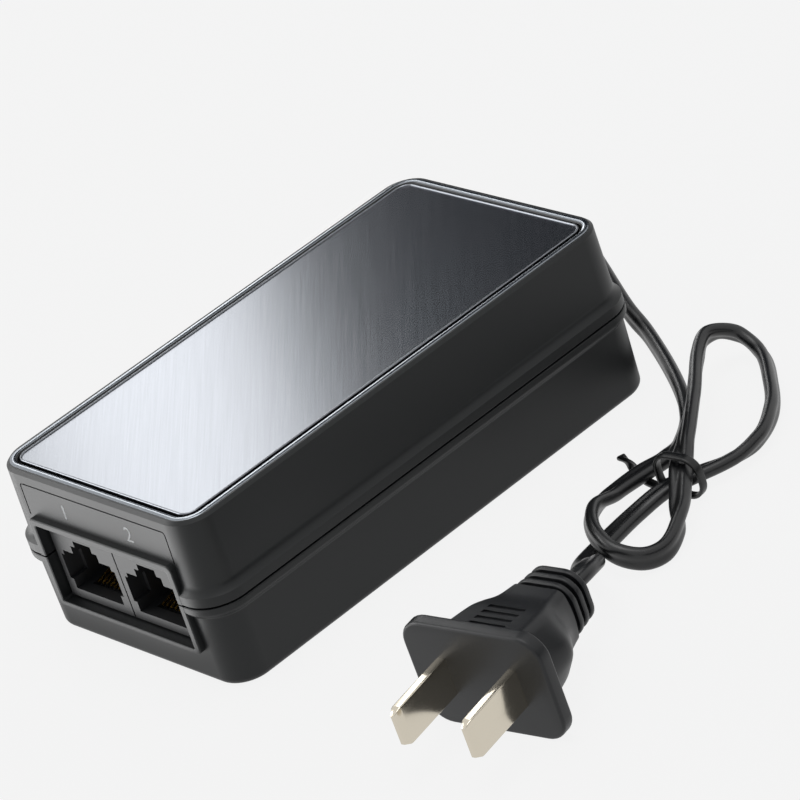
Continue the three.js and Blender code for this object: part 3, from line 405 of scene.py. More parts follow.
def carve(piece, *tools):
    """Cuts the tools out of the piece, leaves the result in its mesh, and removes the tools."""
    for tool in tools:
        cut = piece.modifiers.new("cut", "BOOLEAN")
        cut.operation = "DIFFERENCE"
        cut.solver = "EXACT"
        cut.object = tool
    bpy.context.view_layer.update()
    whole = bpy.data.meshes.new_from_object(piece.evaluated_get(bpy.context.evaluated_depsgraph_get()))
    piece.modifiers.clear()
    piece.data = whole
    for tool in tools:
        bpy.data.objects.remove(tool)
    smooth(piece)


flange_steps = rounded_edge(flange_edge)
flange_steps += [(inset, flange_thickness - d) for inset, d in rounded_edge(flange_edge)[::-1]]
flange_rings = [box_section(flange_width / 2 - inset, flange_height / 2 - inset, flange_radius - inset, y)
                for inset, y in flange_steps]
# Shares of the grip's length, its width above, its width at the middle and its height
grip_shares = np.array([
    [-0.05, 0.72, 0.84, 1], [0, 0.72, 0.84, 1], [0.12, 0.715, 0.9, 0.98], [0.26, 0.7, 0.95, 0.94],
    [0.49, 0.65, 1, 0.87], [0.61, 0.595, 0.9, 0.81], [0.72, 0.53, 0.75, 0.74], [0.81, 0.5, 0.65, 0.7],
    [0.9, 0.48, 0.58, 0.68], [1, 0.46, 0.54, 0.66],
])
grip_rings = [grip_section(grip_width * above, grip_width * middle, grip_height * high,
                           flange_thickness + grip_length * a)
              for a, above, middle, high in follow(grip_shares, 4)]
ring_start = flange_thickness + grip_length
ring_pitch = ring_length + ring_gap
tail_length = ring_pitch * ring_count
tail_rings = [box_section(ring_width / 2 - ring_depth, ring_height / 2 - ring_depth,
                          ring_radius - ring_depth / 2, ring_start - ring_gap / 2)]
for i in range(ring_count):
    steps = [(0, ring_depth), (ring_gap, ring_depth)]
    steps += [(ring_gap + d, inset) for inset, d in rounded_edge(ring_round)]
    steps += [(ring_pitch - d, inset) for inset, d in rounded_edge(ring_round)[::-1]]
    for along_ring, groove in steps:
        share = (i * ring_pitch + along_ring) / tail_length
        half_x = (ring_width + (tail_width - ring_width) * share) / 2 - groove
        half_z = (ring_height + (tail_height - ring_height) * share) / 2 - groove
        y = ring_start + i * ring_pitch + along_ring
        tail_rings.append(box_section(half_x, half_z, ring_radius - groove / 2, y))
plug = skin("plug_moulding", as_plug(np.array(flange_rings)), as_plug(np.array(tail_rings)))
grip = skin("plug_grip", as_plug(np.array(grip_rings)))
# Grooves of the two grip panels: a bar cuts each one, half its height below the sloping face
bars = []
for side in (1, -1):
    for i in range(panel_grooves):
        bar = []
        for y in (panel_start + i * panel_pitch, panel_start + (i + 0.5) * panel_pitch):
            high = np.interp((y - flange_thickness) / grip_length, grip_shares[:, 0], grip_shares[:, 3])
            middle_z = side * grip_height * high / 2
            loop = rounded_loop(panel_width / 2, panel_groove, panel_groove / 2, 3)
            bar.append(np.column_stack([loop[:, 0], np.full(len(loop), y), loop[:, 1] + middle_z]))
        bars.append(skin("groove bar", as_plug(np.array(bar))))
carve(grip, *bars)
plug_plastic = moulded_pvc("moulded PVC plug", plug_black, grain_size=0.35 * mm, roughness=0.4)
for piece in (plug, grip):
    piece.data.materials.append(plug_plastic)
    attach(piece, "case")
    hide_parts("plug_body")

# Plug pins
# Two flat brass blades, punched from strip and nickel plated. Their tips are chamfered to find the
# socket, and the punching leaves fine lines along their faces.
pin_gap = 12.7 * mm
pin_width = 6.35 * mm
pin_thickness = 1.5 * mm
pin_length = 12.6 * mm
pin_root = 2 * mm
pin_edge = 0.18 * mm
# Steps of a blade: its place along the plug's line, and its shares of the full thickness and width
pin_steps = [
    (-pin_length, 0.4, 0.8), (-pin_length + 0.12 * mm, 0.5, 0.825), (-pin_length + 1.1 * mm, 0.96, 0.985),
    (-pin_length + 1.5 * mm, 1, 1), (pin_root, 1, 1),
]
nickel = "D3CBBB"


def plated_nickel():
    """Nickel on punched brass: a warm, clear metal with fine lines along the blade."""
    material, tree = new_material("nickel plated brass")
    place = add(tree, "ShaderNodeTexCoord").outputs["Object"]
    drawn = add(tree, "ShaderNodeMapping", {
        "Vector": place, "Rotation": (0, 0, plug_turn), "Scale": (0.2 * mm, 9 * mm, 0.2 * mm),
    }, vector_type="TEXTURE")
    lines = add(tree, "ShaderNodeTexNoise", {"Vector": drawn.outputs["Vector"], "Scale": 1, "Detail": 2})
    rough = add(tree, "ShaderNodeMapRange", {"Value": lines.outputs["Fac"], "To Min": 0.1, "To Max": 0.2})
    bump = add(tree, "ShaderNodeBump", {
        "Height": lines.outputs["Fac"], "Strength": 0.03, "Distance": 0.01 * mm,
    })
    shader = add(tree, "ShaderNodeBsdfPrincipled", {
        "Base Color": linear(nickel), "Metallic": 1,
        "Roughness": rough.outputs["Result"], "Normal": bump.outputs["Normal"],
    })
    add(tree, "ShaderNodeOutputMaterial", {"Surface": shader.outputs["BSDF"]})
    return material


def blade(middle_x):
    """One blade: a flat bar with rounded edges, its tip drawn in to two fifths of its thickness."""
    rings = []
    for y, thick, wide in pin_steps:
        loop = rounded_loop(pin_thickness / 2 * thick, pin_width / 2 * wide, pin_edge * thick, 4)
        rings.append(np.stack([loop[:, 0] + middle_x, np.full(len(loop), y), loop[:, 1]], -1))
    return as_plug(np.array(rings))


blade_metal = plated_nickel()
for side, middle_x in (("left", -pin_gap / 2), ("right", pin_gap / 2)):
    pin = skin("pin_blade_" + side, blade(middle_x))
    pin.data.materials.append(blade_metal)
    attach(pin, "case")
    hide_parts("plug_pin_" + side)

# Case shells
# Two halves of black ABS, moulded with thin walls and a slight draft. Where they meet, each half
# swells into a band that stands proud of the wall, and at the front the band widens into a bezel
# round the jacks.
half_length = 45 * mm
half_width = 23.75 * mm
case_height = 29.5 * mm
corner_radius = 5.5 * mm
corner_steps = 20
least_radius = 0.4 * mm
case_draft = 0.22 * mm
case_wall = 2 * mm
roof_wall = 2.7 * mm
floor_wall = 2 * mm
parting = 14.8 * mm
parting_gap = 0.3 * mm
tongue_wall = 0.9 * mm
tongue_height = 1.3 * mm
band_proud = 0.95 * mm
upper_band = 1.8 * mm
lower_band = 1.9 * mm
flare = 1.7 * mm
band_chamfer = 0.6 * mm
band_round = 0.9 * mm
edge_round = 0.18 * mm
top_chamfer = 0.5 * mm
lip_chamfer = 0.2 * mm
trim_seat = 0.12 * mm
base_round = 1.2 * mm
rim_width = 2.02 * mm
pocket_depth = 1.1 * mm
pocket_radius = 2.7 * mm
bezel_proud = 0.03 * mm
bezel_round = 0.25 * mm
bezel_half = 17.4 * mm
bezel_bottom = 5.8 * mm
bezel_top = 21.7 * mm
bezel_radius = 1.1 * mm
window_half = 16.1 * mm
window_bottom = 6.6 * mm
window_top = 20.5 * mm
window_radius = 0.4 * mm
panel_half = 17.6 * mm
panel_top = 27.3 * mm
panel_radius = 0.6 * mm
panel_line = 0.26 * mm
notch_radius = 3.5 * mm
# The cutting tools go through an end wall from this share of the half length to that one
tool_inside = 0.9
tool_outside = 1.2
abs_black = "1A1C1D"


def arc(offset, z, radius, start, end, steps=6):
    """A quarter or other part of a circle in a wall's profile, round (offset, z), from one angle in
    degrees to another, zero pointing outward and 90 up."""
    a = np.radians(np.linspace(start, end, steps + 1))
    return list(zip(offset + radius * np.cos(a), z + radius * np.sin(a)))


def wall_skin(name, profile, radii=()):
    """Carries a profile, points of outward offset and height, round the plan of the case. The radius
    of the plan's corners follows the offset, unless radii gives one for that point of the profile."""
    radii = dict(radii)
    rings = []
    for i, (offset, z) in enumerate(profile):
        radius = radii.get(i, max(corner_radius + offset, least_radius))
        loop = rounded_loop(half_width + offset, half_length + offset, radius, corner_steps)
        rings.append(np.column_stack([loop, np.full(len(loop), z)]))
    return skin(name, np.array(rings))


def even_normals(piece):
    """Lets the large flat faces set the shading of the small rounded ones beside them."""
    weighted = piece.modifiers.new("even normals", "WEIGHTED_NORMAL")
    weighted.keep_sharp = True


def along_y(loop, y0, y1):
    """A loop of points by x, z, carried from y0 to y1."""
    return np.array([np.column_stack([loop[:, 0], np.full(len(loop), y), loop[:, 1]]) for y in (y0, y1)])


def u_path(half_x, edge_z, cut_z, radius, steps=8):
    """Points by x, z from the parting on the right, round two corners at edge_z, to the parting on
    the left."""
    way = 1 if edge_z > cut_z else -1
    a = np.linspace(0, math.pi / 2, steps + 1)
    corner = np.column_stack([half_x - radius + radius * np.cos(a), edge_z - way * radius * (1 - np.sin(a))])
    mirrored = corner[::-1] * [-1, 1]
    return np.vstack([[half_x, cut_z], corner, mirrored, [-half_x, cut_z]])


def bezel_rings(edge_in, edge_out, cut_z):
    """The half of the bezel between the window's edge and its own outer edge. Its section runs from
    inside the wall out to the face, with round edges, and back."""
    inner = u_path(window_half, edge_in, cut_z, window_radius)
    outer = u_path(bezel_half, edge_out, cut_z, bezel_radius)
    face = -half_length - band_proud - bezel_proud
    width = bezel_half - window_half
    a = np.linspace(0, math.pi / 2, 6)
    share = bezel_round / width * (1 - np.sin(a))
    depth = face + bezel_round * (1 - np.cos(a))
    across_face = np.concatenate([[0], share[::-1], 1 - share, [1]])
    back = face + bezel_round + case_wall + band_proud / 2
    y = np.concatenate([[back], depth[::-1], depth, [back]])
    flat = inner[:, None] + (outer - inner)[:, None] * across_face[None, :, None]
    return np.stack([flat[..., 0], np.broadcast_to(y, flat.shape[:2]), flat[..., 1]], -1)


def moulded_abs():
    """ABS moulded in an etched tool: dark charcoal with a satin bloom, and a grain too fine to count."""
    material, tree = new_material("satin moulded ABS")
    place = add(tree, "ShaderNodeTexCoord").outputs["Object"]
    grain = add(tree, "ShaderNodeTexNoise", {"Vector": place, "Scale": 1 / (0.25 * mm), "Detail": 3})
    cloud = add(tree, "ShaderNodeTexNoise", {"Vector": place, "Scale": 1 / (18 * mm), "Detail": 4})
    rough = add(tree, "ShaderNodeMapRange", {"Value": cloud.outputs["Fac"], "To Min": 0.38, "To Max": 0.46})
    bump = add(tree, "ShaderNodeBump", {
        "Height": grain.outputs["Fac"], "Strength": 0.22, "Distance": 0.015 * mm,
    })
    shader = add(tree, "ShaderNodeBsdfPrincipled", {
        "Base Color": linear(abs_black), "IOR": 1.54, "Specular IOR Level": 0.3,
        "Roughness": rough.outputs["Result"], "Normal": bump.outputs["Normal"],
    })
    add(tree, "ShaderNodeOutputMaterial", {"Surface": shader.outputs["BSDF"]})
    return material


def window_tool():
    """A block through the front wall, a corner's radius larger all round than the window of the bezel."""
    half_z = (window_top - window_bottom) / 2 + window_radius
    loop = rounded_loop(window_half + window_radius, half_z, window_radius, 4)
    loop = loop + [0, (window_top + window_bottom) / 2]
    return skin("window tool", along_y(loop, -half_length * tool_outside, -half_length * tool_inside))


def notch_tool():
    """A round bar through the rear wall, where the strain relief sits."""
    a = np.arange(48) / 48 * 2 * math.pi
    loop = np.column_stack([relief_x + notch_radius * np.cos(a), parting + notch_radius * np.sin(a)])
    return skin("notch tool", along_y(loop, half_length * tool_inside, half_length * tool_outside))


def panel_tool():
    """The engraved line round the label panel: a thin square bar bent round the panel's edge."""
    path = u_path(panel_half, panel_top, bezel_top, panel_radius)
    ahead = np.gradient(path, axis=0)
    outward = np.column_stack([ahead[:, 1], -ahead[:, 0]])
    outward = outward / np.linalg.norm(outward, axis=1)[:, None] * panel_line / 2
    rings = []
    for point, out in zip(path, outward):
        front = -half_length + case_draft * (point[1] - parting) / (case_height - parting)
        a, b = point + out, point - out
        rings.append([[a[0], front - panel_line, a[1]], [b[0], front - panel_line, b[1]],
                      [b[0], front + panel_line / 2, b[1]], [a[0], front + panel_line / 2, a[1]]])
    return skin("panel line tool", np.array(rings))


satin_abs = moulded_abs()
# Upper half: down the inside of the wall, round the rebate and the band, up the flare and over the
# rim to the floor of the pocket
upper_start = parting + parting_gap / 2
rebate_top = parting + tongue_height + parting_gap
rebate = -case_wall + tongue_wall + parting_gap
upper = [(-case_wall - case_draft, case_height - roof_wall), (-case_wall, rebate_top)]
upper += [(rebate, rebate_top), (rebate, upper_start)]
upper += arc(band_proud - edge_round, upper_start + edge_round, edge_round, -90, 0)
rises = np.linspace(0, 1, 15)
upper += list(zip(band_proud * (1 - rises) ** 2, parting + upper_band + flare * rises))
seat = case_height - trim_seat
upper += [(-case_draft, seat - top_chamfer), (-case_draft - top_chamfer, seat)]
pocket = -case_draft - rim_width
tight = len(upper)
upper += [(pocket + lip_chamfer, seat), (pocket, seat - lip_chamfer)]
upper += [(pocket, case_height - pocket_depth)]
pocket_radii = {tight: pocket_radius + lip_chamfer, tight + 1: pocket_radius, tight + 2: pocket_radius}
upper_case = wall_skin("upper_case_half", upper, pocket_radii)
carve(upper_case, window_tool(), notch_tool(), panel_tool())
upper_bezel = skin("upper_bezel", bezel_rings(window_top, bezel_top, upper_start))

# Lower half: up the inside of the wall, round the tongue and the band, and down to the base
lower_end = parting - parting_gap / 2
lower = [(-case_wall - case_draft, floor_wall), (-case_wall, parting + tongue_height)]
lower += [(-case_wall + tongue_wall, parting + tongue_height), (-case_wall + tongue_wall, lower_end)]
lower += arc(band_proud - edge_round, lower_end - edge_round, edge_round, 90, 0)
lower += arc(band_proud - band_round, parting - lower_band + band_round, band_round, 0, -60, 8)
lower += [(0, parting - lower_band - band_chamfer)]
lower += arc(-case_draft - base_round, base_round, base_round, 0, -90, 12)
lower_case = wall_skin("lower_case_half", lower)
carve(lower_case, window_tool(), notch_tool())
lower_bezel = skin("lower_bezel", bezel_rings(window_bottom, bezel_bottom, lower_end))
for piece, node in ((upper_case, "upper_shell"), (lower_case, "lower_shell"),
                    (upper_bezel, "upper_shell"), (lower_bezel, "lower_shell")):
    piece.data.materials.append(satin_abs)
    even_normals(piece)
    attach(piece, "case")
    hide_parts(node)

# Port numbers
# Two plain figures printed in pale ink on the label panel, one over each jack.
figure_height = 2.6 * mm
figure_base = 23.2 * mm
figure_lift = 0.03 * mm
# The height of a figure as a share of its letter size
figure_share = 0.7
jack_pitch = 15.7 * mm
ink_grey = "DADCDD"
ink_worn = "AEB1B3"


def pad_print():
    """Pad-printed ink: flat pale grey, a little worn through at a fine grain."""
    material, tree = new_material("pad printed ink")
    place = add(tree, "ShaderNodeTexCoord").outputs["Object"]
    wear = add(tree, "ShaderNodeTexNoise", {"Vector": place, "Scale": 1 / (0.3 * mm), "Detail": 3})
    tone = add(tree, "ShaderNodeMixRGB", {
        "Fac": wear.outputs["Fac"], "Color1": linear(ink_grey), "Color2": linear(ink_worn),
    })
    shader = add(tree, "ShaderNodeBsdfPrincipled", {"Base Color": tone.outputs["Color"], "Roughness": 0.55})
    add(tree, "ShaderNodeOutputMaterial", {"Surface": shader.outputs["BSDF"]})
    return material


ink = pad_print()
flare_top = parting + upper_band + flare
wall_top = seat - top_chamfer
lean = math.atan(case_draft / (wall_top - flare_top))
for figure, side in (("1", -1), ("2", 1)):
    letter = bpy.data.curves.new("figure", "FONT")
    letter.body = figure
    letter.size = figure_height / figure_share
    letter.extrude = figure_lift
    letter.align_x = "CENTER"
    drawn = bpy.data.objects.new("figure", letter)
    scene.collection.objects.link(drawn)
    bpy.context.view_layer.update()
    printed = bpy.data.meshes.new_from_object(drawn.evaluated_get(bpy.context.evaluated_depsgraph_get()))
    bpy.data.objects.remove(drawn)
    front = -half_length + case_draft * (figure_base - flare_top) / (wall_top - flare_top)
    printed.transform(Matrix.Translation((side * jack_pitch / 2, front, figure_base))
                      @ Matrix.Rotation(math.pi / 2 - lean, 4, "X"))
    number = bpy.data.objects.new("port_figure_" + figure, printed)
    scene.collection.objects.link(number)
    number.data.materials.clear()
    number.data.materials.append(ink)
    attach(number, "case")

# Top plate
# A thin sheet of aluminium, brushed on the diagonal, with a narrow bead pressed round its edge. It is
# set into a pocket in the roof with a gap round it, and its badge place is bare.
plate_gap = 0.45 * mm
plate_thickness = 0.8 * mm
plate_bead = 0.2 * mm
plate_border = 5 * mm
hair_angle = math.atan2(-1, 1.1)
hair_width = 0.2 * mm
hair_length = 14 * mm
streak_width = 1.1 * mm
streak_length = 30 * mm
hairs_unit = 100 * mm
plate_light = "878A8F"
plate_dark = "777A7F"


def brushed_plate():
    """Brushed aluminium: fine straight hairs on the diagonal, which smear what it mirrors across them,
    and draw faint light and dark streaks."""
    material, tree = new_material("brushed aluminium plate")
    place = add(tree, "ShaderNodeTexCoord").outputs["Object"]
    hairs = add(tree, "ShaderNodeMapping", {
        "Vector": place, "Rotation": (0, 0, hair_angle), "Scale": (hair_length, hair_width, hair_width),
    }, vector_type="TEXTURE")
    fine = add(tree, "ShaderNodeTexNoise", {"Vector": hairs.outputs["Vector"], "Scale": 1, "Detail": 2})
    bands = add(tree, "ShaderNodeMapping", {
        "Vector": place, "Rotation": (0, 0, hair_angle), "Scale": (streak_length, streak_width, 1),
    }, vector_type="TEXTURE")
    broad = add(tree, "ShaderNodeTexNoise", {"Vector": bands.outputs["Vector"], "Scale": 1, "Detail": 3})
    both = add(tree, "ShaderNodeMath", {0: fine.outputs["Fac"], 1: broad.outputs["Fac"]},
               operation="MULTIPLY")
    tone = add(tree, "ShaderNodeMixRGB", {
        "Fac": fine.outputs["Fac"], "Color1": linear(plate_dark), "Color2": linear(plate_light),
    })
    rough = add(tree, "ShaderNodeMapRange", {
        "Value": both.outputs["Value"], "To Min": 0.215, "To Max": 0.275,
    })
    bump = add(tree, "ShaderNodeBump", {
        "Height": fine.outputs["Fac"], "Strength": 0.04, "Distance": 0.01 * mm,
    })
    tangent = add(tree, "ShaderNodeTangent", direction_type="UV_MAP", uv_map="hairs")
    shader = add(tree, "ShaderNodeBsdfPrincipled", {
        "Base Color": tone.outputs["Color"], "Metallic": 1, "Anisotropic": 0.6,
        "Tangent": tangent.outputs["Tangent"],
        "Roughness": rough.outputs["Result"], "Normal": bump.outputs["Normal"],
    })
    add(tree, "ShaderNodeOutputMaterial", {"Surface": shader.outputs["BSDF"]})
    return material


edge = pocket - plate_gap
plate_profile = [(edge, case_height - plate_thickness)]
plate_profile += arc(edge - plate_bead, case_height - plate_bead, plate_bead, 0, 180, 14)
plate_profile += [(edge - plate_border, case_height - plate_bead)]
plate_radii = {i: max(pocket_radius - plate_gap + offset - edge, least_radius)
               for i, (offset, z) in enumerate(plate_profile)}
plate = wall_skin("brushed_plate", plate_profile, plate_radii)
# A map turned to lie along the hairs, whose tangent tells the shader which way they run
hairs_map = plate.data.uv_layers.new(name="hairs")
corners = np.zeros(len(plate.data.loops), int)
plate.data.loops.foreach_get("vertex_index", corners)
spots = np.zeros(len(plate.data.vertices) * 3)
plate.data.vertices.foreach_get("co", spots)
spots = spots.reshape(-1, 3)[corners]
u = spots[:, 0] * math.cos(hair_angle) + spots[:, 1] * math.sin(hair_angle)
v = spots[:, 1] * math.cos(hair_angle) - spots[:, 0] * math.sin(hair_angle)
hairs_map.data.foreach_set("uv", np.column_stack([u, v]).ravel() / hairs_unit)
plate.data.materials.append(brushed_plate())
even_normals(plate)
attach(plate, "case")
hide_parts("top_plate")

# Rim trim
# A narrow band of bright-rolled aluminium, slightly crowned, bonded in a shallow seat along the rim
# of the roof. It frames the plate, and its crown draws a bright line on every side.
trim_width = 0.95 * mm
trim_metal = "8F949A"


def bright_aluminium():
    """Bright-rolled aluminium: clear metal with faint rolling lines too fine to count."""
    material, tree = new_material("bright rolled aluminium")
    place = add(tree, "ShaderNodeTexCoord").outputs["Object"]
    lines = add(tree, "ShaderNodeTexNoise", {"Vector": place, "Scale": 1 / (0.5 * mm), "Detail": 3})
    rough = add(tree, "ShaderNodeMapRange", {"Value": lines.outputs["Fac"], "To Min": 0.18, "To Max": 0.3})
    shader = add(tree, "ShaderNodeBsdfPrincipled", {
        "Base Color": linear(trim_metal), "Metallic": 1, "Roughness": rough.outputs["Result"],
    })
    add(tree, "ShaderNodeOutputMaterial", {"Surface": shader.outputs["BSDF"]})
    return material


# Its crown is a parabola across its width, from its inner edge beside the pocket to its outer edge
spread = np.linspace(0, 1, 9)
inner_edge = pocket + lip_chamfer
crown = seat + trim_seat * 4 * spread * (1 - spread)
trim_profile = [(inner_edge, seat - trim_seat)]
trim_profile += list(zip(inner_edge + trim_width * spread, crown))
trim_profile += [(inner_edge + trim_width, seat - trim_seat), (inner_edge, seat - trim_seat)]
trim_radii = {i: pocket_radius + offset - pocket for i, (offset, z) in enumerate(trim_profile)}
trim = wall_skin("rim_trim", trim_profile, trim_radii)
trim.data.materials.append(bright_aluminium())
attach(trim, "case")

# Jacks
# Two modular jacks moulded in black glass-filled PBT, each with eight gold-plated contacts that
# spring down when a plug goes in, and a carrier that holds them at the back.
jack_black = "101113"
carrier_grey = "202226"
fibre_grey = "1C1D20"
gold = "D9AE52"


def filled_pbt(name, colour):
    """Glass-filled PBT: dull black with a coarse, faintly mottled skin."""
    material, tree = new_material(name)
    place = add(tree, "ShaderNodeTexCoord").outputs["Object"]
    fibre = add(tree, "ShaderNodeTexNoise", {"Vector": place, "Scale": 1 / (0.6 * mm), "Detail": 4})
    tone = add(tree, "ShaderNodeMixRGB", {
        "Fac": fibre.outputs["Fac"], "Color1": linear(colour), "Color2": linear(fibre_grey),
    })
    bump = add(tree, "ShaderNodeBump", {
        "Height": fibre.outputs["Fac"], "Strength": 0.3, "Distance": 0.02 * mm,
    })
    shader = add(tree, "ShaderNodeBsdfPrincipled", {
        "Base Color": tone.outputs["Color"], "Roughness": 0.5, "Normal": bump.outputs["Normal"],
    })
    add(tree, "ShaderNodeOutputMaterial", {"Surface": shader.outputs["BSDF"]})
    return material


def gold_plate():
    """Hard gold over nickel: yellow metal with slight bending marks across the arms."""
    material, tree = new_material("gold plated bronze")
    place = add(tree, "ShaderNodeTexCoord").outputs["Object"]
    marks = add(tree, "ShaderNodeTexNoise", {"Vector": place, "Scale": 1 / (0.5 * mm), "Detail": 3})
    rough = add(tree, "ShaderNodeMapRange", {"Value": marks.outputs["Fac"], "To Min": 0.18, "To Max": 0.34})
    shader = add(tree, "ShaderNodeBsdfPrincipled", {
        "Base Color": linear(gold), "Metallic": 1, "Roughness": rough.outputs["Result"],
    })
    add(tree, "ShaderNodeOutputMaterial", {"Surface": shader.outputs["BSDF"]})
    return material


housing_plastic = filled_pbt("glass filled PBT", jack_black)
carrier_plastic = filled_pbt("glass filled nylon", carrier_grey)
contact_metal = gold_plate()
for name, node in nodes.items():
    if name.startswith(("jack_housing", "contact_")):
        node.data.materials.clear()
    if name.startswith("jack_housing"):
        node.data.materials.append(housing_plastic)
    elif name.startswith("contact_carrier"):
        node.data.materials.append(carrier_plastic)
    elif name.startswith("contact_"):
        node.data.materials.append(contact_metal)

# Circuit inside
# A green glass-epoxy board with the parts of a small mains supply on it: fuse, bridge, capacitors,
# chokes, transformer, sink and switching transistor. None of it shows while the case is closed.
# Each finish: its two tones, roughness, metallic, size of grain in mm, and the pieces it is on
inner_finishes = {
    "solder resist": ("1E5A38", "174A2D", 0.35, 0, 2.2, ("circuit_board",)),
    "moulded epoxy": ("1B1B1C", "242425", 0.5, 0, 0.5,
                      ("fuse", "bridge_rectifier", "switch_transistor", "controller_chip")),
    "shrink sleeve": ("24324C", "1C2840", 0.3, 0, 4,
                      ("mains_capacitor", "output_capacitor_1", "output_capacitor_2")),
    "ground ferrite": ("3A3B3D", "2E2F31", 0.55, 0, 0.8, ("transformer_core", "output_choke")),
    "polyester tape": ("C9B23A", "B79F2C", 0.3, 0, 3, ("transformer_winding",)),
    "enamelled copper": ("A6602E", "7E4420", 0.3, 1, 0.6, ("line_choke",)),
    "mill aluminium": ("BABCBF", "A4A6A9", 0.35, 1, 1.5, ("heat_sink",)),
    "dipped epoxy": ("2B5EA0", "244F88", 0.4, 0, 1.2, ("safety_capacitor",)),
}
for name, (light, dark, roughness, metal, grain_size, members) in inner_finishes.items():
    material, tree = new_material(name)
    place = add(tree, "ShaderNodeTexCoord").outputs["Object"]
    grain = add(tree, "ShaderNodeTexNoise", {"Vector": place, "Scale": 1 / (grain_size * mm), "Detail": 4})
    tone = add(tree, "ShaderNodeMixRGB", {
        "Fac": grain.outputs["Fac"], "Color1": linear(light), "Color2": linear(dark),
    })
    bump = add(tree, "ShaderNodeBump", {
        "Height": grain.outputs["Fac"], "Strength": 0.3, "Distance": 0.03 * mm,
    })
    shader = add(tree, "ShaderNodeBsdfPrincipled", {
        "Base Color": tone.outputs["Color"], "Metallic": metal, "Roughness": roughness,
        "Normal": bump.outputs["Normal"],
    })
    add(tree, "ShaderNodeOutputMaterial", {"Surface": shader.outputs["BSDF"]})
    for member in members:
        nodes[member].data.materials.clear()
        nodes[member].data.materials.append(material)

# Floor and studio
# A pale floor that runs out of sight, a tall soft box on the left, which the plate mirrors, and a
# square one overhead. Cards and flags that only mirrors see give the metal its lights and darks.
floor_grey = "F5F5F5"
floor_glow = "FBFBFB"
floor_lit = "B4B4B4"
# The share of the floor's tone that is its own, whatever light falls on it
floor_even = 0.9
floor_half = 4


def pale_paper():
    """Seamless paper: the floor's own grey wherever it is seen or mirrored, darkened by shadows."""
    material, tree = new_material("seamless paper")
    rays = add(tree, "ShaderNodeLightPath")
    seen = add(tree, "ShaderNodeMath", {0: rays.outputs["Is Camera Ray"], 1: rays.outputs["Is Glossy Ray"]},
               operation="MAXIMUM")
    through = add(tree, "ShaderNodeMath", {0: seen.outputs["Value"], 1: rays.outputs["Is Transmission Ray"]},
                  operation="MAXIMUM")
    flatten = add(tree, "ShaderNodeMath", {0: through.outputs["Value"], 1: floor_even}, operation="MULTIPLY")
    glow = add(tree, "ShaderNodeEmission", {"Color": linear(floor_glow), "Strength": 1})
    paper = add(tree, "ShaderNodeBsdfDiffuse", {"Color": linear(floor_lit)})
    mixed = add(tree, "ShaderNodeMixShader", {
        0: flatten.outputs["Value"], 1: paper.outputs["BSDF"], 2: glow.outputs["Emission"],
    })
    add(tree, "ShaderNodeOutputMaterial", {"Surface": mixed.outputs["Shader"]})
    return material


def sheet_of(name, corners):
    """A flat four-cornered sheet."""
    mesh = bpy.data.meshes.new(name)
    mesh.from_pydata(corners, [], [[0, 1, 2, 3]])
    piece = bpy.data.objects.new(name, mesh)
    scene.collection.objects.link(piece)
    return piece


def lying(x0, x1, y0, y1, z):
    """The corners of a level sheet."""
    return [(x0, y0, z), (x1, y0, z), (x1, y1, z), (x0, y1, z)]


floor = sheet_of("floor", lying(-floor_half, floor_half, -floor_half, floor_half, 0))
floor.data.materials.append(pale_paper())

box_left = -0.6
box_front = 0.275
box_rear = 0.38
box_top = 0.9
soft_box = bpy.data.lights.new("soft box", "AREA")
soft_box.shape = "RECTANGLE"
soft_box.size = box_top
soft_box.size_y = box_rear - box_front
soft_box.energy = 0.85
lamp = bpy.data.objects.new("soft box", soft_box)
lamp.location = (box_left, (box_front + box_rear) / 2, box_top / 2)
lamp.rotation_euler = (0, math.radians(-90), 0)
scene.collection.objects.link(lamp)

# A smaller soft box overhead, which draws the highlights along rounded edges and the lead
top_box = bpy.data.lights.new("top box", "AREA")
top_box.shape = "SQUARE"
top_box.size = 0.6
top_box.energy = 3.1
top_lamp = bpy.data.objects.new("top box", top_box)
top_lamp.location = (0.05, 0, 1)
scene.collection.objects.link(top_lamp)


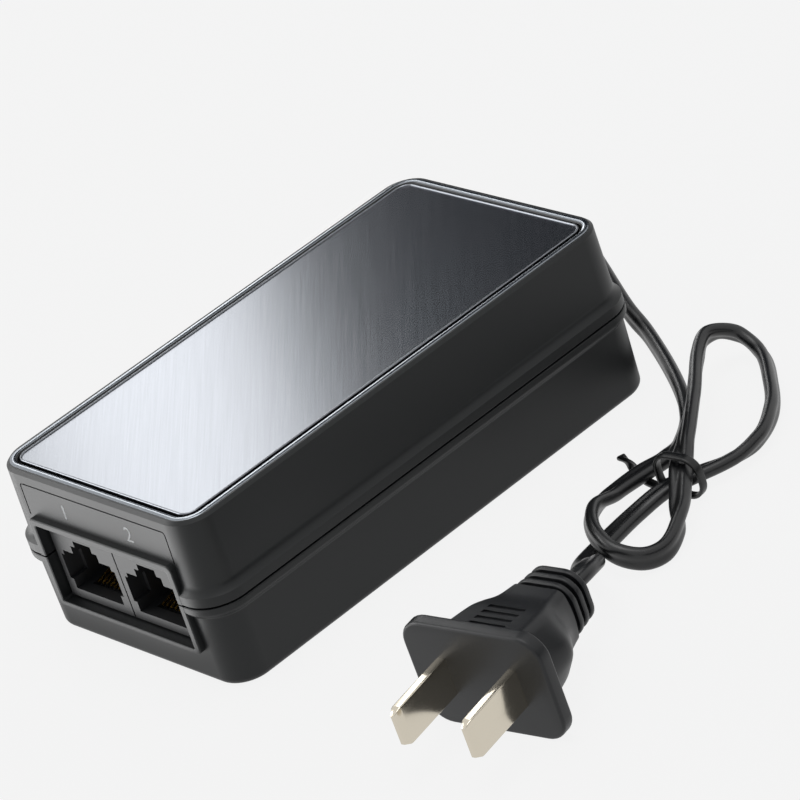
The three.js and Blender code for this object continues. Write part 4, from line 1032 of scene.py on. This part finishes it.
def standing(x, y0, y1, z0, z1):
    """The corners of an upright sheet that faces along x."""
    return [(x, y0, z0), (x, y1, z0), (x, y1, z1), (x, y0, z1)]


def only_mirrored(name, finish, colour, strength, corners):
    """A sheet that only mirrors see. It glows evenly, lights nothing and casts no shadow."""
    sheet = sheet_of(name, corners)
    material, tree = new_material(finish)
    glow = add(tree, "ShaderNodeEmission", {"Color": linear(colour), "Strength": strength})
    add(tree, "ShaderNodeOutputMaterial", {"Surface": glow.outputs["Emission"]})
    sheet.data.materials.append(material)
    sheet.visible_camera = False
    sheet.visible_diffuse = False
    sheet.visible_shadow = False


# A lit card on the floor before the jacks gives the front wall its sheen. A standing one to the left
# of the front draws the bright lines along the chamfers of the rim.
only_mirrored("front card", "lit card", "FFFFFF", 3.7, lying(-0.32, 0.008, -0.35, -0.05, 0.001))
only_mirrored("tall card", "lit standing card", "FFFFFF", 5, standing(-0.6, -0.85, -0.2, 0.15, 0.8))
# A black flag on the right is mirrored in the hollow of the flare, and the dark side of the room, past
# the soft box, in the rear of the plate
only_mirrored("black flag", "black flag cloth", "101012", 1, standing(1.2, -0.6, 2.2, 0, 0.42))
only_mirrored("dark side", "dark room side", "1B222B", 1, standing(box_left, box_rear, 1.15, -0.2, 2))

# The room: an even grey that fills the shadows, seen and mirrored in the floor's own tone
world = bpy.data.worlds.new("studio")
world.use_nodes = True
world_tree = world.node_tree
world_tree.nodes.clear()
rays = add(world_tree, "ShaderNodeLightPath")
seen = add(world_tree, "ShaderNodeMath", {0: rays.outputs["Is Camera Ray"], 1: rays.outputs["Is Glossy Ray"]},
           operation="MAXIMUM")
fill = add(world_tree, "ShaderNodeBackground", {"Color": linear("C8CACC"), "Strength": 0.7})
backdrop = add(world_tree, "ShaderNodeBackground", {"Color": linear(floor_grey), "Strength": 1})
shown = add(world_tree, "ShaderNodeMixShader", {
    0: seen.outputs["Value"], 1: fill.outputs["Background"], 2: backdrop.outputs["Background"],
})
add(world_tree, "ShaderNodeOutputWorld", {"Surface": shown.outputs["Shader"]})
scene.world = world
